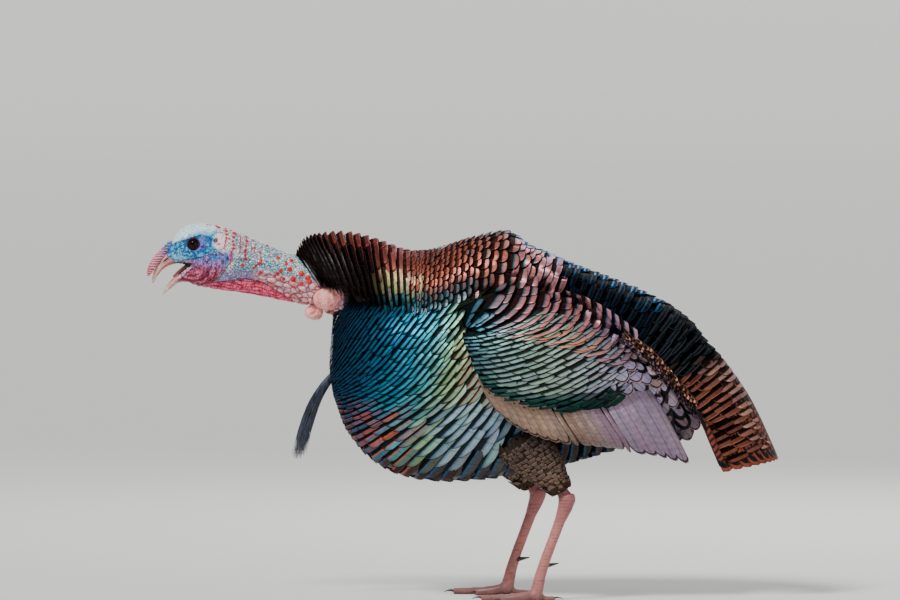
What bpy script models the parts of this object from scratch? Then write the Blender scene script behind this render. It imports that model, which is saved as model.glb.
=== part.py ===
"""Adult male wild turkey, life size, standing with its neck stretched forward to gobble.

Metres, +Z up. The bird faces -X and its left side is at -Y. The origin is on the floor, under the
middle of its length. Every solid gives the outline of the plumage, out to the tips of the feathers.
"""

import math

import bmesh
import bpy
from mathutils import Vector

# Driving dimensions.
GAP = 0.0004  # between neighbouring pieces
FLOOR = 0.0  # the level that both soles stand on
HEAD_END = -0.355  # where the head meets the neck, just behind the ear
NECK_END = -0.1695  # how far the neck runs into the shoulders
EYE_AT = (-0.4026, 0.0185, 0.5312)
EYE_RADIUS = 0.0095
LEG_OFFSET = 0.072  # each leg's distance from the middle plane
STRIDE = 0.042  # how far the left foot stands behind the right one
TAIL_FEATHERS = 18
SKIN_POWER = 2.0  # 2 is an ellipse, and more is boxier
BODY_POWER = 2.15
TRUNK_BELLY = 0.42  # where the trunk is widest, as a share of its height below the top

# Sections of the head and neck: x, top, bottom, half width.
HEAD_NECK = [
    (-0.4425, 0.5235, 0.5040, 0.0090),
    (-0.4365, 0.5318, 0.5018, 0.0130),
    (-0.4305, 0.5422, 0.5018, 0.0165),
    (-0.4230, 0.5520, 0.5018, 0.0200),
    (-0.4140, 0.5577, 0.5002, 0.0230),
    (-0.4050, 0.5600, 0.4950, 0.0250),
    (-0.3960, 0.5607, 0.4845, 0.0260),
    (-0.3855, 0.5600, 0.4755, 0.0265),
    (-0.3750, 0.5580, 0.4710, 0.0270),
    (-0.3630, 0.5555, 0.4710, 0.0270),
    (-0.3465, 0.5520, 0.4740, 0.0270),
    (-0.3270, 0.5437, 0.4790, 0.0265),
    (-0.3075, 0.5355, 0.4770, 0.0265),
    (-0.2880, 0.5265, 0.4695, 0.0275),
    (-0.2685, 0.5182, 0.4605, 0.0295),
    (-0.2475, 0.5130, 0.4500, 0.0320),
    (-0.2265, 0.5100, 0.4395, 0.0350),
    (-0.1995, 0.5070, 0.4290, 0.0400),
    (-0.1695, 0.4980, 0.4230, 0.0460),
]

# The flesh of the lower jaw, from the chin to the angle of the jaw.
JAW = [
    (-0.4275, 0.4845, 0.4740, 0.0095),
    (-0.4200, 0.4912, 0.4752, 0.0130),
    (-0.4125, 0.4965, 0.4750, 0.0170),
    (-0.4035, 0.4995, 0.4710, 0.0200),
    (-0.3930, 0.5010, 0.4673, 0.0205),
    (-0.3810, 0.5010, 0.4657, 0.0180),
    (-0.3705, 0.4950, 0.4695, 0.0120),
]

UPPER_BILL = [
    (-0.4665, 0.4790, 0.4715, 0.0015),
    (-0.4635, 0.4925, 0.4733, 0.0035),
    (-0.4575, 0.5030, 0.4845, 0.0055),
    (-0.4500, 0.5115, 0.4928, 0.0080),
    (-0.4425, 0.5200, 0.4976, 0.0105),
    (-0.4335, 0.5270, 0.5005, 0.0135),
    (-0.4275, 0.5290, 0.5015, 0.0145),
]

LOWER_BILL = [
    (-0.4508, 0.4575, 0.4540, 0.0012),
    (-0.4470, 0.4650, 0.4570, 0.0030),
    (-0.4410, 0.4730, 0.4620, 0.0050),
    (-0.4335, 0.4806, 0.4686, 0.0070),
    (-0.4260, 0.4866, 0.4740, 0.0095),
    (-0.4185, 0.4915, 0.4765, 0.0120),
]

# The loose skin stretched under the throat.
DEWLAP = [
    (-0.3960, 0.4900, 0.4770, 0.0060),
    (-0.3870, 0.4950, 0.4655, 0.0100),
    (-0.3645, 0.4950, 0.4620, 0.0115),
    (-0.3345, 0.4950, 0.4585, 0.0115),
    (-0.3045, 0.4920, 0.4530, 0.0115),
    (-0.2745, 0.4800, 0.4470, 0.0130),
    (-0.2490, 0.4680, 0.4425, 0.0130),
    (-0.2325, 0.4590, 0.4400, 0.0080),
]

# Sections of the breast, belly and rump.
TRUNK = [
    (-0.2010, 0.3640, 0.3380, 0.0100),
    (-0.1950, 0.4140, 0.3030, 0.0380),
    (-0.1815, 0.4470, 0.2595, 0.0620),
    (-0.1545, 0.4620, 0.2190, 0.0880),
    (-0.1095, 0.4815, 0.1860, 0.1100),
    (-0.0495, 0.4900, 0.1725, 0.1240),
    (0.0255, 0.5100, 0.1740, 0.1280),
    (0.1005, 0.5000, 0.1860, 0.1240),
    (0.1755, 0.4770, 0.2040, 0.1100),
    (0.2430, 0.4425, 0.2250, 0.0880),
    (0.3030, 0.4020, 0.2400, 0.0600),
    (0.3480, 0.3570, 0.2520, 0.0340),
]

# The raised ruff, the mantle behind it and the humped upper back.
MANTLE = [
    (-0.2475, 0.5400, 0.5280, 0.0160),
    (-0.2385, 0.5445, 0.5115, 0.0400),
    (-0.2235, 0.5480, 0.4845, 0.0580),
    (-0.2055, 0.5510, 0.4605, 0.0720),
    (-0.1770, 0.5535, 0.4470, 0.0840),
    (-0.1365, 0.5445, 0.4425, 0.0930),
    (-0.0975, 0.5295, 0.4395, 0.1000),
    (-0.0675, 0.5175, 0.4380, 0.1060),
    (-0.0345, 0.5280, 0.4410, 0.1090),
    (0.0105, 0.5430, 0.4590, 0.1070),
    (0.0555, 0.5535, 0.4755, 0.0990),
    (0.0765, 0.5550, 0.4890, 0.0870),
    (0.0885, 0.5475, 0.5100, 0.0560),
]

# The rump and the upper tail coverts.
TAIL_COVERTS = [
    (0.0700, 0.5200, 0.4900, 0.0700),
    (0.0980, 0.5320, 0.4810, 0.0880),
    (0.1230, 0.5235, 0.4700, 0.0930),
    (0.1455, 0.5115, 0.4600, 0.0950),
    (0.1905, 0.4935, 0.4340, 0.0960),
    (0.2355, 0.4785, 0.3900, 0.0940),
    (0.2805, 0.4590, 0.3420, 0.0860),
    (0.3255, 0.4335, 0.2950, 0.0730),
    (0.3555, 0.4065, 0.2650, 0.0640),
    (0.3750, 0.3740, 0.2620, 0.0500),
]

# The folded tail, along its ridge: x, z, depth to its lower edges, half width there, thickness.
TAIL_RIDGE = [
    (0.3100, 0.4330, 0.070, 0.044, 0.020),
    (0.3500, 0.4030, 0.080, 0.051, 0.018),
    (0.3850, 0.3690, 0.088, 0.059, 0.016),
    (0.4140, 0.3300, 0.094, 0.065, 0.014),
    (0.4380, 0.2895, 0.096, 0.069, 0.012),
    (0.4560, 0.2490, 0.096, 0.071, 0.010),
    (0.4740, 0.2080, 0.094, 0.070, 0.008),
]
TAIL_SIDE_SHORTER = 0.020  # the outer tail feathers end this far before the middle ones
TAIL_SCALLOP = 0.006  # between one feather's tip and the next

# A folded wing over the body's side: x, upper edge, lower edge, thickness.
WING_COVERTS = [
    (-0.0015, 0.4080, 0.3780, 0.004),
    (0.0105, 0.4290, 0.3540, 0.010),
    (0.0330, 0.4530, 0.3195, 0.016),
    (0.0630, 0.4700, 0.2910, 0.021),
    (0.1080, 0.4680, 0.2775, 0.024),
    (0.1530, 0.4500, 0.2790, 0.024),
    (0.1980, 0.4220, 0.2850, 0.024),
    (0.2355, 0.3850, 0.2940, 0.020),
    (0.2655, 0.3560, 0.3060, 0.014),
    (0.2835, 0.3400, 0.3210, 0.006),
]
FLIGHT_FEATHERS = [
    (0.0450, 0.3010, 0.2900, 0.006),
    (0.0630, 0.2900, 0.2640, 0.012),
    (0.1080, 0.2780, 0.2420, 0.016),
    (0.1530, 0.2780, 0.2350, 0.017),
    (0.1980, 0.2850, 0.2315, 0.017),
    (0.2355, 0.2940, 0.2275, 0.017),
    (0.2655, 0.3050, 0.2230, 0.016),
    (0.2835, 0.3100, 0.2170, 0.014),
    (0.3150, 0.2760, 0.2055, 0.010),
    (0.3450, 0.2400, 0.1960, 0.005),
]
# How far out a folded wing stays where the belly curves in beneath it: x, distance.
WING_HANG = [(0.0, 0.112), (0.1, 0.112), (0.2, 0.098), (0.3, 0.072), (0.36, 0.056)]
WING_EDGE = 0.0016  # thickness at a wing's edges
WING_LIFT = 0.0024  # room between a wing and the body's side

# Lobes of the wattle: centre for the left one, radii.
LOBES = {
    "caruncle_left": ((-0.2036, -0.0340, 0.4496), (0.0195, 0.0155, 0.0158)),
    "caruncle_right": ((-0.2036, 0.0340, 0.4496), (0.0195, 0.0155, 0.0158)),
    "caruncle_low": ((-0.2234, -0.0060, 0.4285), (0.0135, 0.0110, 0.0105)),
}

# Round pieces along a path: x, y, z, radius in the middle plane, half width.
SNOOD = [
    (-0.4350, 0.0000, 0.5340, 0.0040, 0.0045),
    (-0.4400, 0.0000, 0.5292, 0.0052, 0.0055),
    (-0.4485, -0.0010, 0.5200, 0.0060, 0.0060),
    (-0.4568, -0.0025, 0.5110, 0.0062, 0.0062),
    (-0.4643, -0.0040, 0.5010, 0.0060, 0.0060),
    (-0.4693, -0.0052, 0.4910, 0.0047, 0.0050),
    (-0.4722, -0.0060, 0.4840, 0.0018, 0.0022),
]
BEARD = [
    (-0.1750, 0.0, 0.3520, 0.0060, 0.0080),
    (-0.1965, 0.0, 0.3500, 0.0075, 0.0100),
    (-0.2120, 0.0, 0.3320, 0.0085, 0.0105),
    (-0.2250, 0.0, 0.3060, 0.0095, 0.0105),
    (-0.2355, 0.0, 0.2745, 0.0100, 0.0095),
    (-0.2430, 0.0, 0.2415, 0.0085, 0.0075),
    (-0.2480, 0.0, 0.2080, 0.0035, 0.0035),
]
TONGUE = [
    (-0.3990, 0.0, 0.4935, 0.0030, 0.0060),
    (-0.4110, 0.0, 0.4985, 0.0026, 0.0070),
    (-0.4240, 0.0, 0.4935, 0.0020, 0.0052),
    (-0.4350, 0.0, 0.4855, 0.0012, 0.0024),
]
THIGH = [
    (0.0300, 0.0, 0.2700, 0.0560, 0.0340),
    (0.0520, 0.0, 0.2400, 0.0500, 0.0340),
    (0.0750, 0.0, 0.2080, 0.0370, 0.0290),
    (0.0950, 0.0, 0.1800, 0.0230, 0.0210),
    (0.1080, 0.0, 0.1600, 0.0150, 0.0145),
]
SHANK = [
    (0.1120, 0.0, 0.1590, 0.0130, 0.0125),
    (0.1130, 0.0, 0.1480, 0.0128, 0.0120),
    (0.1040, 0.0, 0.1240, 0.0082, 0.0072),
    (0.0900, 0.0, 0.0860, 0.0074, 0.0066),
    (0.0760, 0.0, 0.0480, 0.0078, 0.0070),
    (0.0675, 0.0, 0.0130, 0.0095, 0.0090),
]
TOE_ROOT = (0.0655, 0.0, 0.0120)
PAD_HEIGHT = 0.0085  # the middle of the pad under the toes' roots
PAD_RADII = (0.0125, 0.0115, 0.0100)
# Each toe: its heading from straight ahead, length, radius, height of its root.
TOES = {
    "inner": (34.0, 0.056, 0.0062, 0.0100),
    "middle": (2.0, 0.080, 0.0068, 0.0100),
    "outer": (-34.0, 0.062, 0.0060, 0.0100),
    "hind": (168.0, 0.030, 0.0050, 0.0130),
}
CLAW_LENGTH = 0.018
CLAW_BEDDED = 0.003  # how much of a claw's length lies within its toe
SPUR_LENGTH = 0.022

COLOURS = {
    "white_skin": ((0.70, 0.82, 0.85), 0.55),
    "blue_skin": ((0.14, 0.42, 0.62), 0.5),
    "red_skin": ((0.72, 0.20, 0.22), 0.5),
    "horn": ((0.62, 0.50, 0.40), 0.35),
    "eye": ((0.02, 0.012, 0.010), 0.05),
    "mantle": ((0.17, 0.085, 0.06), 0.45),
    "breast": ((0.05, 0.16, 0.19), 0.4),
    "wing": ((0.20, 0.26, 0.25), 0.45),
    "flight": ((0.20, 0.16, 0.15), 0.6),
    "coverts": ((0.02, 0.035, 0.05), 0.4),
    "tail": ((0.26, 0.09, 0.045), 0.5),
    "beard": ((0.03, 0.035, 0.05), 0.5),
    "leg": ((0.42, 0.22, 0.20), 0.5),
    "claw": ((0.10, 0.07, 0.06), 0.35),
}

BIRD = None
CUTTERS = None


# ---------------------------------------------------------------- shape helpers
def at(rows, place):
    """The values beside place on a smooth cubic through the rows, whose first column is the place."""
    last = len(rows) - 1
    place = min(max(place, rows[0][0]), rows[last][0])
    i = max(k for k in range(last) if rows[k][0] <= place)
    low, high = rows[i], rows[i + 1]
    width = high[0] - low[0]
    t = (place - low[0]) / width

    def slope(k, column):
        a, b = rows[max(k - 1, 0)], rows[min(k + 1, last)]
        return (b[column] - a[column]) / (b[0] - a[0])

    values = []
    for c in range(1, len(low)):
        a, b = slope(i, c) * width, slope(i + 1, c) * width
        t2, t3 = t * t, t * t * t
        values.append(
            (2 * t3 - 3 * t2 + 1) * low[c] + (t3 - 2 * t2 + t) * a
            + (3 * t2 - 2 * t3) * high[c] + (t3 - t2) * b
        )
    return values


def spaced(first, last, count):
    """count numbers from first to last, closer together near both ends."""
    return [first + (last - first) * (1 - math.cos(math.pi * k / (count - 1))) / 2 for k in range(count)]


def signed_power(value, power):
    return math.copysign(abs(value) ** power, value)


def oval(top, bottom, half, count, power, belly=0.5):
    """(y, z) round a closed section that is widest at the share belly of its height below the top."""
    middle = top + (bottom - top) * belly
    points = []
    for k in range(count):
        turn = 2 * math.pi * k / count
        c, s = signed_power(math.cos(turn), 2 / power), signed_power(math.sin(turn), 2 / power)
        reach = top - middle if s > 0 else middle - bottom
        points.append((half * c, middle + reach * s))
    return points


def finish(name, bm, material, cutter=False):
    """Turns the bmesh into an object in the bird's or the cutters' collection."""
    bmesh.ops.recalc_face_normals(bm, faces=bm.faces)
    mesh = bpy.data.meshes.new(name)
    bm.to_mesh(mesh)
    bm.free()
    mesh.shade_smooth()
    thing = bpy.data.objects.new(name, mesh)
    (CUTTERS if cutter else BIRD).objects.link(thing)
    if cutter:
        thing.hide_render = True
        thing.display_type = "WIRE"
    else:
        mesh.materials.append(material_named(material))
    return thing


def skin_rings(rings, folded=False):
    """A closed bmesh through rings with the same count of points.

    Each end has a fan of faces to its middle, or a strip where the rings are those of a folded shell.
    """
    bm = bmesh.new()
    loops = [[bm.verts.new(p) for p in ring] for ring in rings]
    count = len(loops[0])
    for a, b in zip(loops, loops[1:]):
        for k in range(count):
            bm.faces.new((a[k], a[(k + 1) % count], b[(k + 1) % count], b[k]))
    for loop in (loops[0], loops[-1]):
        if folded:
            for k in range(count // 2 - 1):
                bm.faces.new((loop[k], loop[k + 1], loop[count - 2 - k], loop[count - 1 - k]))
            continue
        hub = bm.verts.new(sum((v.co for v in loop), Vector()) / count)
        for k in range(count):
            bm.faces.new((loop[k], loop[(k + 1) % count], hub))
    return bm


def upright_rings(rows, count, sides, power, belly=0.5, grow=0.0, first=None, last=None):
    """Rings in planes across the body, from rows of x, top, bottom and half width."""
    start = rows[0][0] if first is None else first
    end = rows[-1][0] if last is None else last
    rings = []
    for x in spaced(start, end, count):
        top, bottom, half = at(rows, x)
        section = oval(top + grow, bottom - grow, half + grow, sides, power, belly)
        rings.append([(x, y, z) for y, z in section])
    if grow:
        rings.insert(0, [(x - grow, y, z) for x, y, z in rings[0]])
        rings.append([(x + grow, y, z) for x, y, z in rings[-1]])
    return rings


def path_rings(rows, count, sides, grow=0.0, shift=(0.0, 0.0, 0.0), floor=None):
    """Rings square to a path, from rows of x, y, z, radius and half width."""
    numbered = [(float(k), *row) for k, row in enumerate(rows)]
    stops = [k * (len(rows) - 1) / (count - 1) for k in range(count)]
    frames = [at(numbered, stop) for stop in stops]
    rings = []
    for k, (x, y, z, radius, half) in enumerate(frames):
        a, b = frames[max(k - 1, 0)], frames[min(k + 1, count - 1)]
        ahead = (Vector(b[:3]) - Vector(a[:3])).normalized()
        side = (Vector((0, 1, 0)) - ahead * ahead.y).normalized()
        up = ahead.cross(side)
        ring = []
        for j in range(sides):
            turn = 2 * math.pi * j / sides
            point = Vector((x, y, z)) + Vector(shift)
            point += side * (half + grow) * math.cos(turn) + up * (radius + grow) * math.sin(turn)
            if floor is not None:
                point.z = max(point.z, floor)
            ring.append(point)
        rings.append(ring)
    return rings


def cut(thing, *cutters):
    for tool in cutters:
        difference = thing.modifiers.new("cut_" + tool.name, "BOOLEAN")
        difference.operation = "DIFFERENCE"
        difference.solver = "EXACT"
        difference.object = tool
    return thing


def join(thing, other):
    union = thing.modifiers.new("join_" + other.name, "BOOLEAN")
    union.operation = "UNION"
    union.solver = "EXACT"
    union.object = other
    return thing


def material_named(name):
    found = bpy.data.materials.get(name)
    if found:
        return found
    colour, roughness = COLOURS[name]
    made = bpy.data.materials.new(name)
    made.use_nodes = True
    shader = made.node_tree.nodes["Principled BSDF"]
    shader.inputs["Base Color"].default_value = (*colour, 1.0)
    shader.inputs["Roughness"].default_value = roughness
    shader.inputs["Metallic"].default_value = 0.0
    return made


def ellipsoid(name, centre, radii, material, cutter=False):
    bm = bmesh.new()
    bmesh.ops.create_uvsphere(bm, u_segments=12, v_segments=8, radius=1.0)
    for v in bm.verts:
        v.co = Vector(centre) + Vector(v.co[k] * radii[k] for k in range(3))
    return finish(name, bm, material, cutter)


def mirrored(point, side):
    return (point[0], point[1] * side, point[2])


# ---------------------------------------------------------------- the body
# What each solid of upright sections is drawn through, for the solid and for the room it takes.
UPRIGHT = {
    "head": dict(rows=HEAD_NECK, count=14, sides=16, power=SKIN_POWER, last=HEAD_END - GAP / 2),
    "neck": dict(
        rows=HEAD_NECK, count=9, sides=16, power=SKIN_POWER, first=HEAD_END + GAP / 2, last=NECK_END
    ),
    "jaw": dict(rows=JAW, count=7, sides=12, power=SKIN_POWER),
    "upper_bill": dict(rows=UPPER_BILL, count=8, sides=10, power=SKIN_POWER),
    "lower_bill": dict(rows=LOWER_BILL, count=8, sides=10, power=SKIN_POWER),
    "dewlap": dict(rows=DEWLAP, count=9, sides=10, power=SKIN_POWER),
    "trunk": dict(rows=TRUNK, count=16, sides=20, power=BODY_POWER, belly=TRUNK_BELLY),
    "mantle": dict(rows=MANTLE, count=15, sides=18, power=BODY_POWER, belly=0.80),
    "tail_coverts": dict(rows=TAIL_COVERTS, count=11, sides=16, power=BODY_POWER, belly=0.75),
}


def upright_solid(name, material):
    return finish(name, skin_rings(upright_rings(**UPRIGHT[name])), material)


def room_for(name):
    """A cutter that is the named solid grown by the gap."""
    rings = upright_rings(**UPRIGHT[name], grow=GAP)
    return finish(name + "_room", skin_rings(rings), None, cutter=True)


def make_head(sockets):
    head = upright_solid("head", "blue_skin")
    join(head, finish("jaw_flesh", skin_rings(upright_rings(**UPRIGHT["jaw"])), None, cutter=True))
    return cut(head, *sockets)


def make_eyes():
    sockets = []
    for side, name in ((-1, "left"), (1, "right")):
        centre = mirrored(EYE_AT, side)
        ellipsoid("eye_" + name, centre, [EYE_RADIUS] * 3, "eye")
        socket = [EYE_RADIUS + GAP] * 3
        sockets.append(ellipsoid("socket_" + name, centre, socket, None, cutter=True))
    return sockets


def make_bill(head_room, jaw_room):
    cut(upright_solid("upper_bill", "horn"), head_room)
    cut(upright_solid("lower_bill", "horn"), jaw_room, head_room)
    snood = finish("snood", skin_rings(path_rings(SNOOD, 10, 8)), "red_skin")
    cut(snood, room_for("upper_bill"), head_room)
    tongue = finish("tongue", skin_rings(path_rings(TONGUE, 6, 8)), "red_skin")
    cut(tongue, room_for("lower_bill"), jaw_room, head_room)


def make_wattle(rooms):
    cut(upright_solid("dewlap", "red_skin"), *rooms)
    dewlap_room = room_for("dewlap")
    for name, (centre, radii) in LOBES.items():
        lobe = ellipsoid(name, centre, radii, "red_skin")
        cut(lobe, dewlap_room, *rooms)
        if name == "caruncle_low":
            for other in ("caruncle_left", "caruncle_right"):
                far_centre, far_radii = LOBES[other]
                grown = [r + GAP for r in far_radii]
                cut(lobe, ellipsoid(other + "_room", far_centre, grown, None, cutter=True))


def make_tail(rooms):
    """The folded tail: an arch whose end is scalloped by the tips of its feathers."""
    numbered = [(float(k), *row) for k, row in enumerate(TAIL_RIDGE)]
    count, across = 9, 13
    frames = [at(numbered, k * (len(TAIL_RIDGE) - 1) / (count - 1)) for k in range(count)]
    rings = []
    for k, (x, z, depth, half, thickness) in enumerate(frames):
        a, b = frames[max(k - 1, 0)], frames[min(k + 1, count - 1)]
        ahead = Vector((b[0] - a[0], 0, b[1] - a[1])).normalized()
        up = Vector((-ahead.z, 0, ahead.x))
        eaves = Vector((x, 0, z)) - up * depth
        ring = []
        for layer in (0.0, 1.0):
            inset = thickness * layer
            for j in range(across):
                share = j / (across - 1) * 2 - 1
                if layer:
                    share = -share
                turn = (1 - share) * math.pi / 2
                point = eaves + Vector((0, (half - inset) * math.cos(turn), 0))
                point += up * ((depth - inset) * math.sin(turn) ** 0.8)
                if k == count - 1:
                    ripple = math.cos(share * TAIL_FEATHERS / 3 * math.pi)
                    back = TAIL_SIDE_SHORTER * share * share + TAIL_SCALLOP * (1 - ripple) / 2
                    point -= ahead * back
                ring.append(point)
        rings.append(ring)
    return cut(finish("tail", skin_rings(rings, folded=True), "tail"), *rooms)


# ---------------------------------------------------------------- wings
def body_side(x, z):
    """How far out the side of the body is at this place, or where the wing hangs below it."""
    top, bottom, half = at(TRUNK, x)
    middle = top + (bottom - top) * TRUNK_BELLY
    reach = top - middle if z > middle else middle - bottom
    share = min(abs(z - middle) / reach, 1.0)
    round_side = half * (1 - share**BODY_POWER) ** (1 / BODY_POWER)
    return max(round_side, at(WING_HANG, x)[0]) if z < middle else round_side


def wing_rings(rows, side, across):
    """Rings of a shell that lies on the body's side, from rows of x, upper edge, lower edge, thickness.

    Both shells have rings at the same places along the wing, so that their edges keep apart.
    """
    places = {row[0] for row in WING_COVERTS + FLIGHT_FEATHERS}
    rings = []
    for x in sorted(place for place in places if rows[0][0] <= place <= rows[-1][0]):
        upper, lower, thickness = at(rows, x)
        if rows is FLIGHT_FEATHERS and x < WING_COVERTS[-1][0]:
            upper = at(WING_COVERTS, x)[1] - 2 * GAP
        outer, inner = [], []
        for k in range(across):
            share = k / (across - 1)
            z = upper + (lower - upper) * share
            base = body_side(x, z) + WING_LIFT
            swell = WING_EDGE + thickness * (1 - abs(2 * share - 1) ** 3)
            outer.append((x, side * (base + swell), z))
            inner.append((x, side * base, z))
        rings.append(outer + inner[::-1])
    return rings


def make_wings(rooms):
    for side, name in ((-1, "left"), (1, "right")):
        coverts = skin_rings(wing_rings(WING_COVERTS, side, 9), folded=True)
        cut(finish("wing_" + name, coverts, "wing"), *rooms)
        flight = skin_rings(wing_rings(FLIGHT_FEATHERS, side, 6), folded=True)
        cut(finish("flight_" + name, flight, "flight"), *rooms)


# ---------------------------------------------------------------- legs
def toe_path(name, side, shift, reach_from=0.0, reach_to=1.0):
    heading, length, radius, root_height = TOES[name]
    turn = math.radians(heading)
    ahead = Vector((-math.cos(turn), side * -math.sin(turn), 0))
    rows = []
    for share in (0.0, 0.25, 0.5, 0.75, 1.0):
        place = reach_from + (reach_to - reach_from) * share
        centre = Vector(TOE_ROOT) + ahead * length * place
        centre.z = root_height + (radius * 0.62 - root_height) * min(place * 2.5, 1.0)
        narrow = radius * (1 - 0.30 * place)
        rows.append((centre.x + shift, centre.y, centre.z, narrow, narrow))
    return rows, ahead


def claw_path(name, side, shift):
    rows, ahead = toe_path(name, side, shift)
    tip = Vector(rows[-1][:3])
    radius = rows[-1][3] * 0.62
    path = []
    for share in (0.0, 0.35, 0.7, 1.0):
        centre = tip + ahead * (CLAW_LENGTH * share - CLAW_BEDDED)
        centre.z = tip.z + 0.0025 * math.sin(share * math.pi) - 0.0012 * share
        narrow = radius * (1 - 0.82 * share)
        path.append((*centre, narrow, narrow * 0.8))
    return path


def make_leg(side, name, trunk_room):
    back = STRIDE if side < 0 else 0.0
    place = (back, side * LEG_OFFSET, 0.0)
    thigh = finish("thigh_" + name, skin_rings(path_rings(THIGH, 8, 12, shift=place)), "flight")
    shank_room = path_rings(SHANK, 8, 9, grow=GAP, shift=place)
    shank_room = finish("shank_room_" + name, skin_rings(shank_room), None, cutter=True)
    cut(thigh, trunk_room, shank_room)
    spur_root = Vector((0.0790 + back, side * (LEG_OFFSET - 0.003), 0.0520))
    spur_tip = spur_root + Vector((SPUR_LENGTH, -side * 0.006, 0.004))
    spur_rows = [
        (*spur_root.lerp(spur_tip, share), 0.0048 * (1 - 0.8 * share), 0.0042 * (1 - 0.8 * share))
        for share in (0.0, 0.4, 0.75, 1.0)
    ]
    spur = finish("spur_" + name, skin_rings(path_rings(spur_rows, 5, 6)), "claw")
    cut(spur, shank_room)
    shank = finish("shank_" + name, skin_rings(path_rings(SHANK, 8, 9, shift=place)), "leg")
    pad_at = (TOE_ROOT[0] + back, place[1], PAD_HEIGHT)
    pad_radii = [radius + GAP for radius in PAD_RADII]
    pad_room = ellipsoid("pad_room_" + name, pad_at, pad_radii, None, cutter=True)
    toe_rooms = {
        toe: toe_piece(toe, side, place, "toe_room_" + toe + "_" + name, GAP) for toe in TOES
    }
    cut(shank, pad_room, *toe_rooms.values())
    make_foot(side, name, place, pad_at, toe_rooms)


def toe_piece(toe, side, place, name, grow):
    rows, _ = toe_path(toe, side, place[0])
    rings = path_rings(rows, 5, 7, grow=grow, shift=(0, place[1], 0), floor=FLOOR - grow)
    return finish(name, skin_rings(rings), None, cutter=True)


def make_foot(side, name, place, pad_at, toe_rooms):
    """The sole's pad with four toes joined to it, each flat underneath, and their claws."""
    foot = ellipsoid("foot_" + name, pad_at, PAD_RADII, "leg")
    for v in foot.data.vertices:
        v.co.z = max(v.co.z, FLOOR)
    for toe in TOES:
        join(foot, toe_piece(toe, side, place, toe + "_" + name, 0.0))
        rings = path_rings(claw_path(toe, side, place[0]), 4, 6, shift=(0, place[1], 0), floor=FLOOR)
        cut(finish("claw_" + toe + "_" + name, skin_rings(rings), "claw"), toe_rooms[toe])


def make_beard(trunk_room):
    return cut(finish("beard", skin_rings(path_rings(BEARD, 10, 10)), "beard"), trunk_room)


def main():
    global BIRD, CUTTERS
    for old in list(bpy.data.objects):
        bpy.data.objects.remove(old, do_unlink=True)
    BIRD = bpy.data.collections.new("wild_turkey")
    CUTTERS = bpy.data.collections.new("cutters")
    for group in (BIRD, CUTTERS):
        bpy.context.scene.collection.children.link(group)

    names = ("head", "jaw", "neck", "trunk", "mantle", "tail_coverts")
    room = {name: room_for(name) for name in names}
    make_head(make_eyes())
    make_bill(room["head"], room["jaw"])
    cut(upright_solid("neck", "white_skin"), room["jaw"])
    make_wattle([room[name] for name in ("head", "jaw", "neck", "trunk", "mantle")])
    cut(upright_solid("trunk", "breast"), room["neck"])
    cut(upright_solid("mantle", "mantle"), room["trunk"], room["neck"])
    cut(upright_solid("tail_coverts", "coverts"), room["trunk"], room["mantle"])
    make_tail([room["trunk"], room["tail_coverts"]])
    make_wings([room["mantle"], room["tail_coverts"]])
    for side, name in ((-1, "left"), (1, "right")):
        make_leg(side, name, room["trunk"])
    make_beard(room["trunk"])


main()
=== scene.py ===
"""The looks of the adult male wild turkey: its skin, feathers, eyes, bill, beard, claws and light.

Metres, +Z up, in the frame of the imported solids. The bird faces -X and its left side is at -Y. Each
form is taken from the frame's nodes: a node, or several, is rebuilt as one smooth closed form, and
the feathers are laid on it in rows that follow the lie of the plumage.
"""

import math

import bmesh
import bpy
import numpy as np
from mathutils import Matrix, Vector, kdtree
from mathutils.bvhtree import BVHTree


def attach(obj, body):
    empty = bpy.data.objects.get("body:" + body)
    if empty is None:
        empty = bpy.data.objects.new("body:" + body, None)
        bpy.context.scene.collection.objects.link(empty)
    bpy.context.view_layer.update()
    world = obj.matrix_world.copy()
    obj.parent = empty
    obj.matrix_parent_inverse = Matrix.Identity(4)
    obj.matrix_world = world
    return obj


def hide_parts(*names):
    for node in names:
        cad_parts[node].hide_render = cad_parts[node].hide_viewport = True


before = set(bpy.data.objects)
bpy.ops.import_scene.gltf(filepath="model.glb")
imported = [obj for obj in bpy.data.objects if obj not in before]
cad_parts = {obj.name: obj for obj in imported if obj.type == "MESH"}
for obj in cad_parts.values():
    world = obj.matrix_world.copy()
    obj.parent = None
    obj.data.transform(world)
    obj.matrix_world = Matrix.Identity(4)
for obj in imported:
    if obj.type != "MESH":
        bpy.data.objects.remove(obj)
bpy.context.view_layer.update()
BODY = "root"
SIDES = ((-1, "left"), (1, "right"))
TENTHS = 10000  # tenths of a millimetre in a metre
CHANCE = np.random.default_rng(7)


# ---------------------------------------------------------------- numbers
def smooth(low, high, value):
    t = np.clip((value - low) / (high - low), 0.0, 1.0)
    return t * t * (3.0 - 2.0 * t)


def bump(value, centre, reach):
    """1 at the centre, falling smoothly to 0 at the reach to either side."""
    return 1.0 - smooth(0.0, 1.0, np.abs(value - centre) / reach)


def shade(red, green, blue):
    """A colour as seen on a screen, from 0 to 255, as the light it gives."""
    c = np.array([red, green, blue]) / 255.0
    return np.where(c > 0.04045, ((c + 0.055) / 1.055) ** 2.4, c / 12.92)


def ramp(value, stops):
    """Colours for the values, from stops of (value, red, green, blue)."""
    places = [stop[0] for stop in stops]
    lights = np.array([shade(*stop[1:]) for stop in stops])
    return np.stack([np.interp(value, places, lights[:, k]) for k in range(3)], -1)


def lerp(a, b, share):
    """Between a and b. A tuple is a colour as seen on a screen."""
    a, b = (shade(*v) if isinstance(v, tuple) else v for v in (a, b))
    share = np.asarray(share)[..., None]
    return a * (1 - share) + b * share


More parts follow.
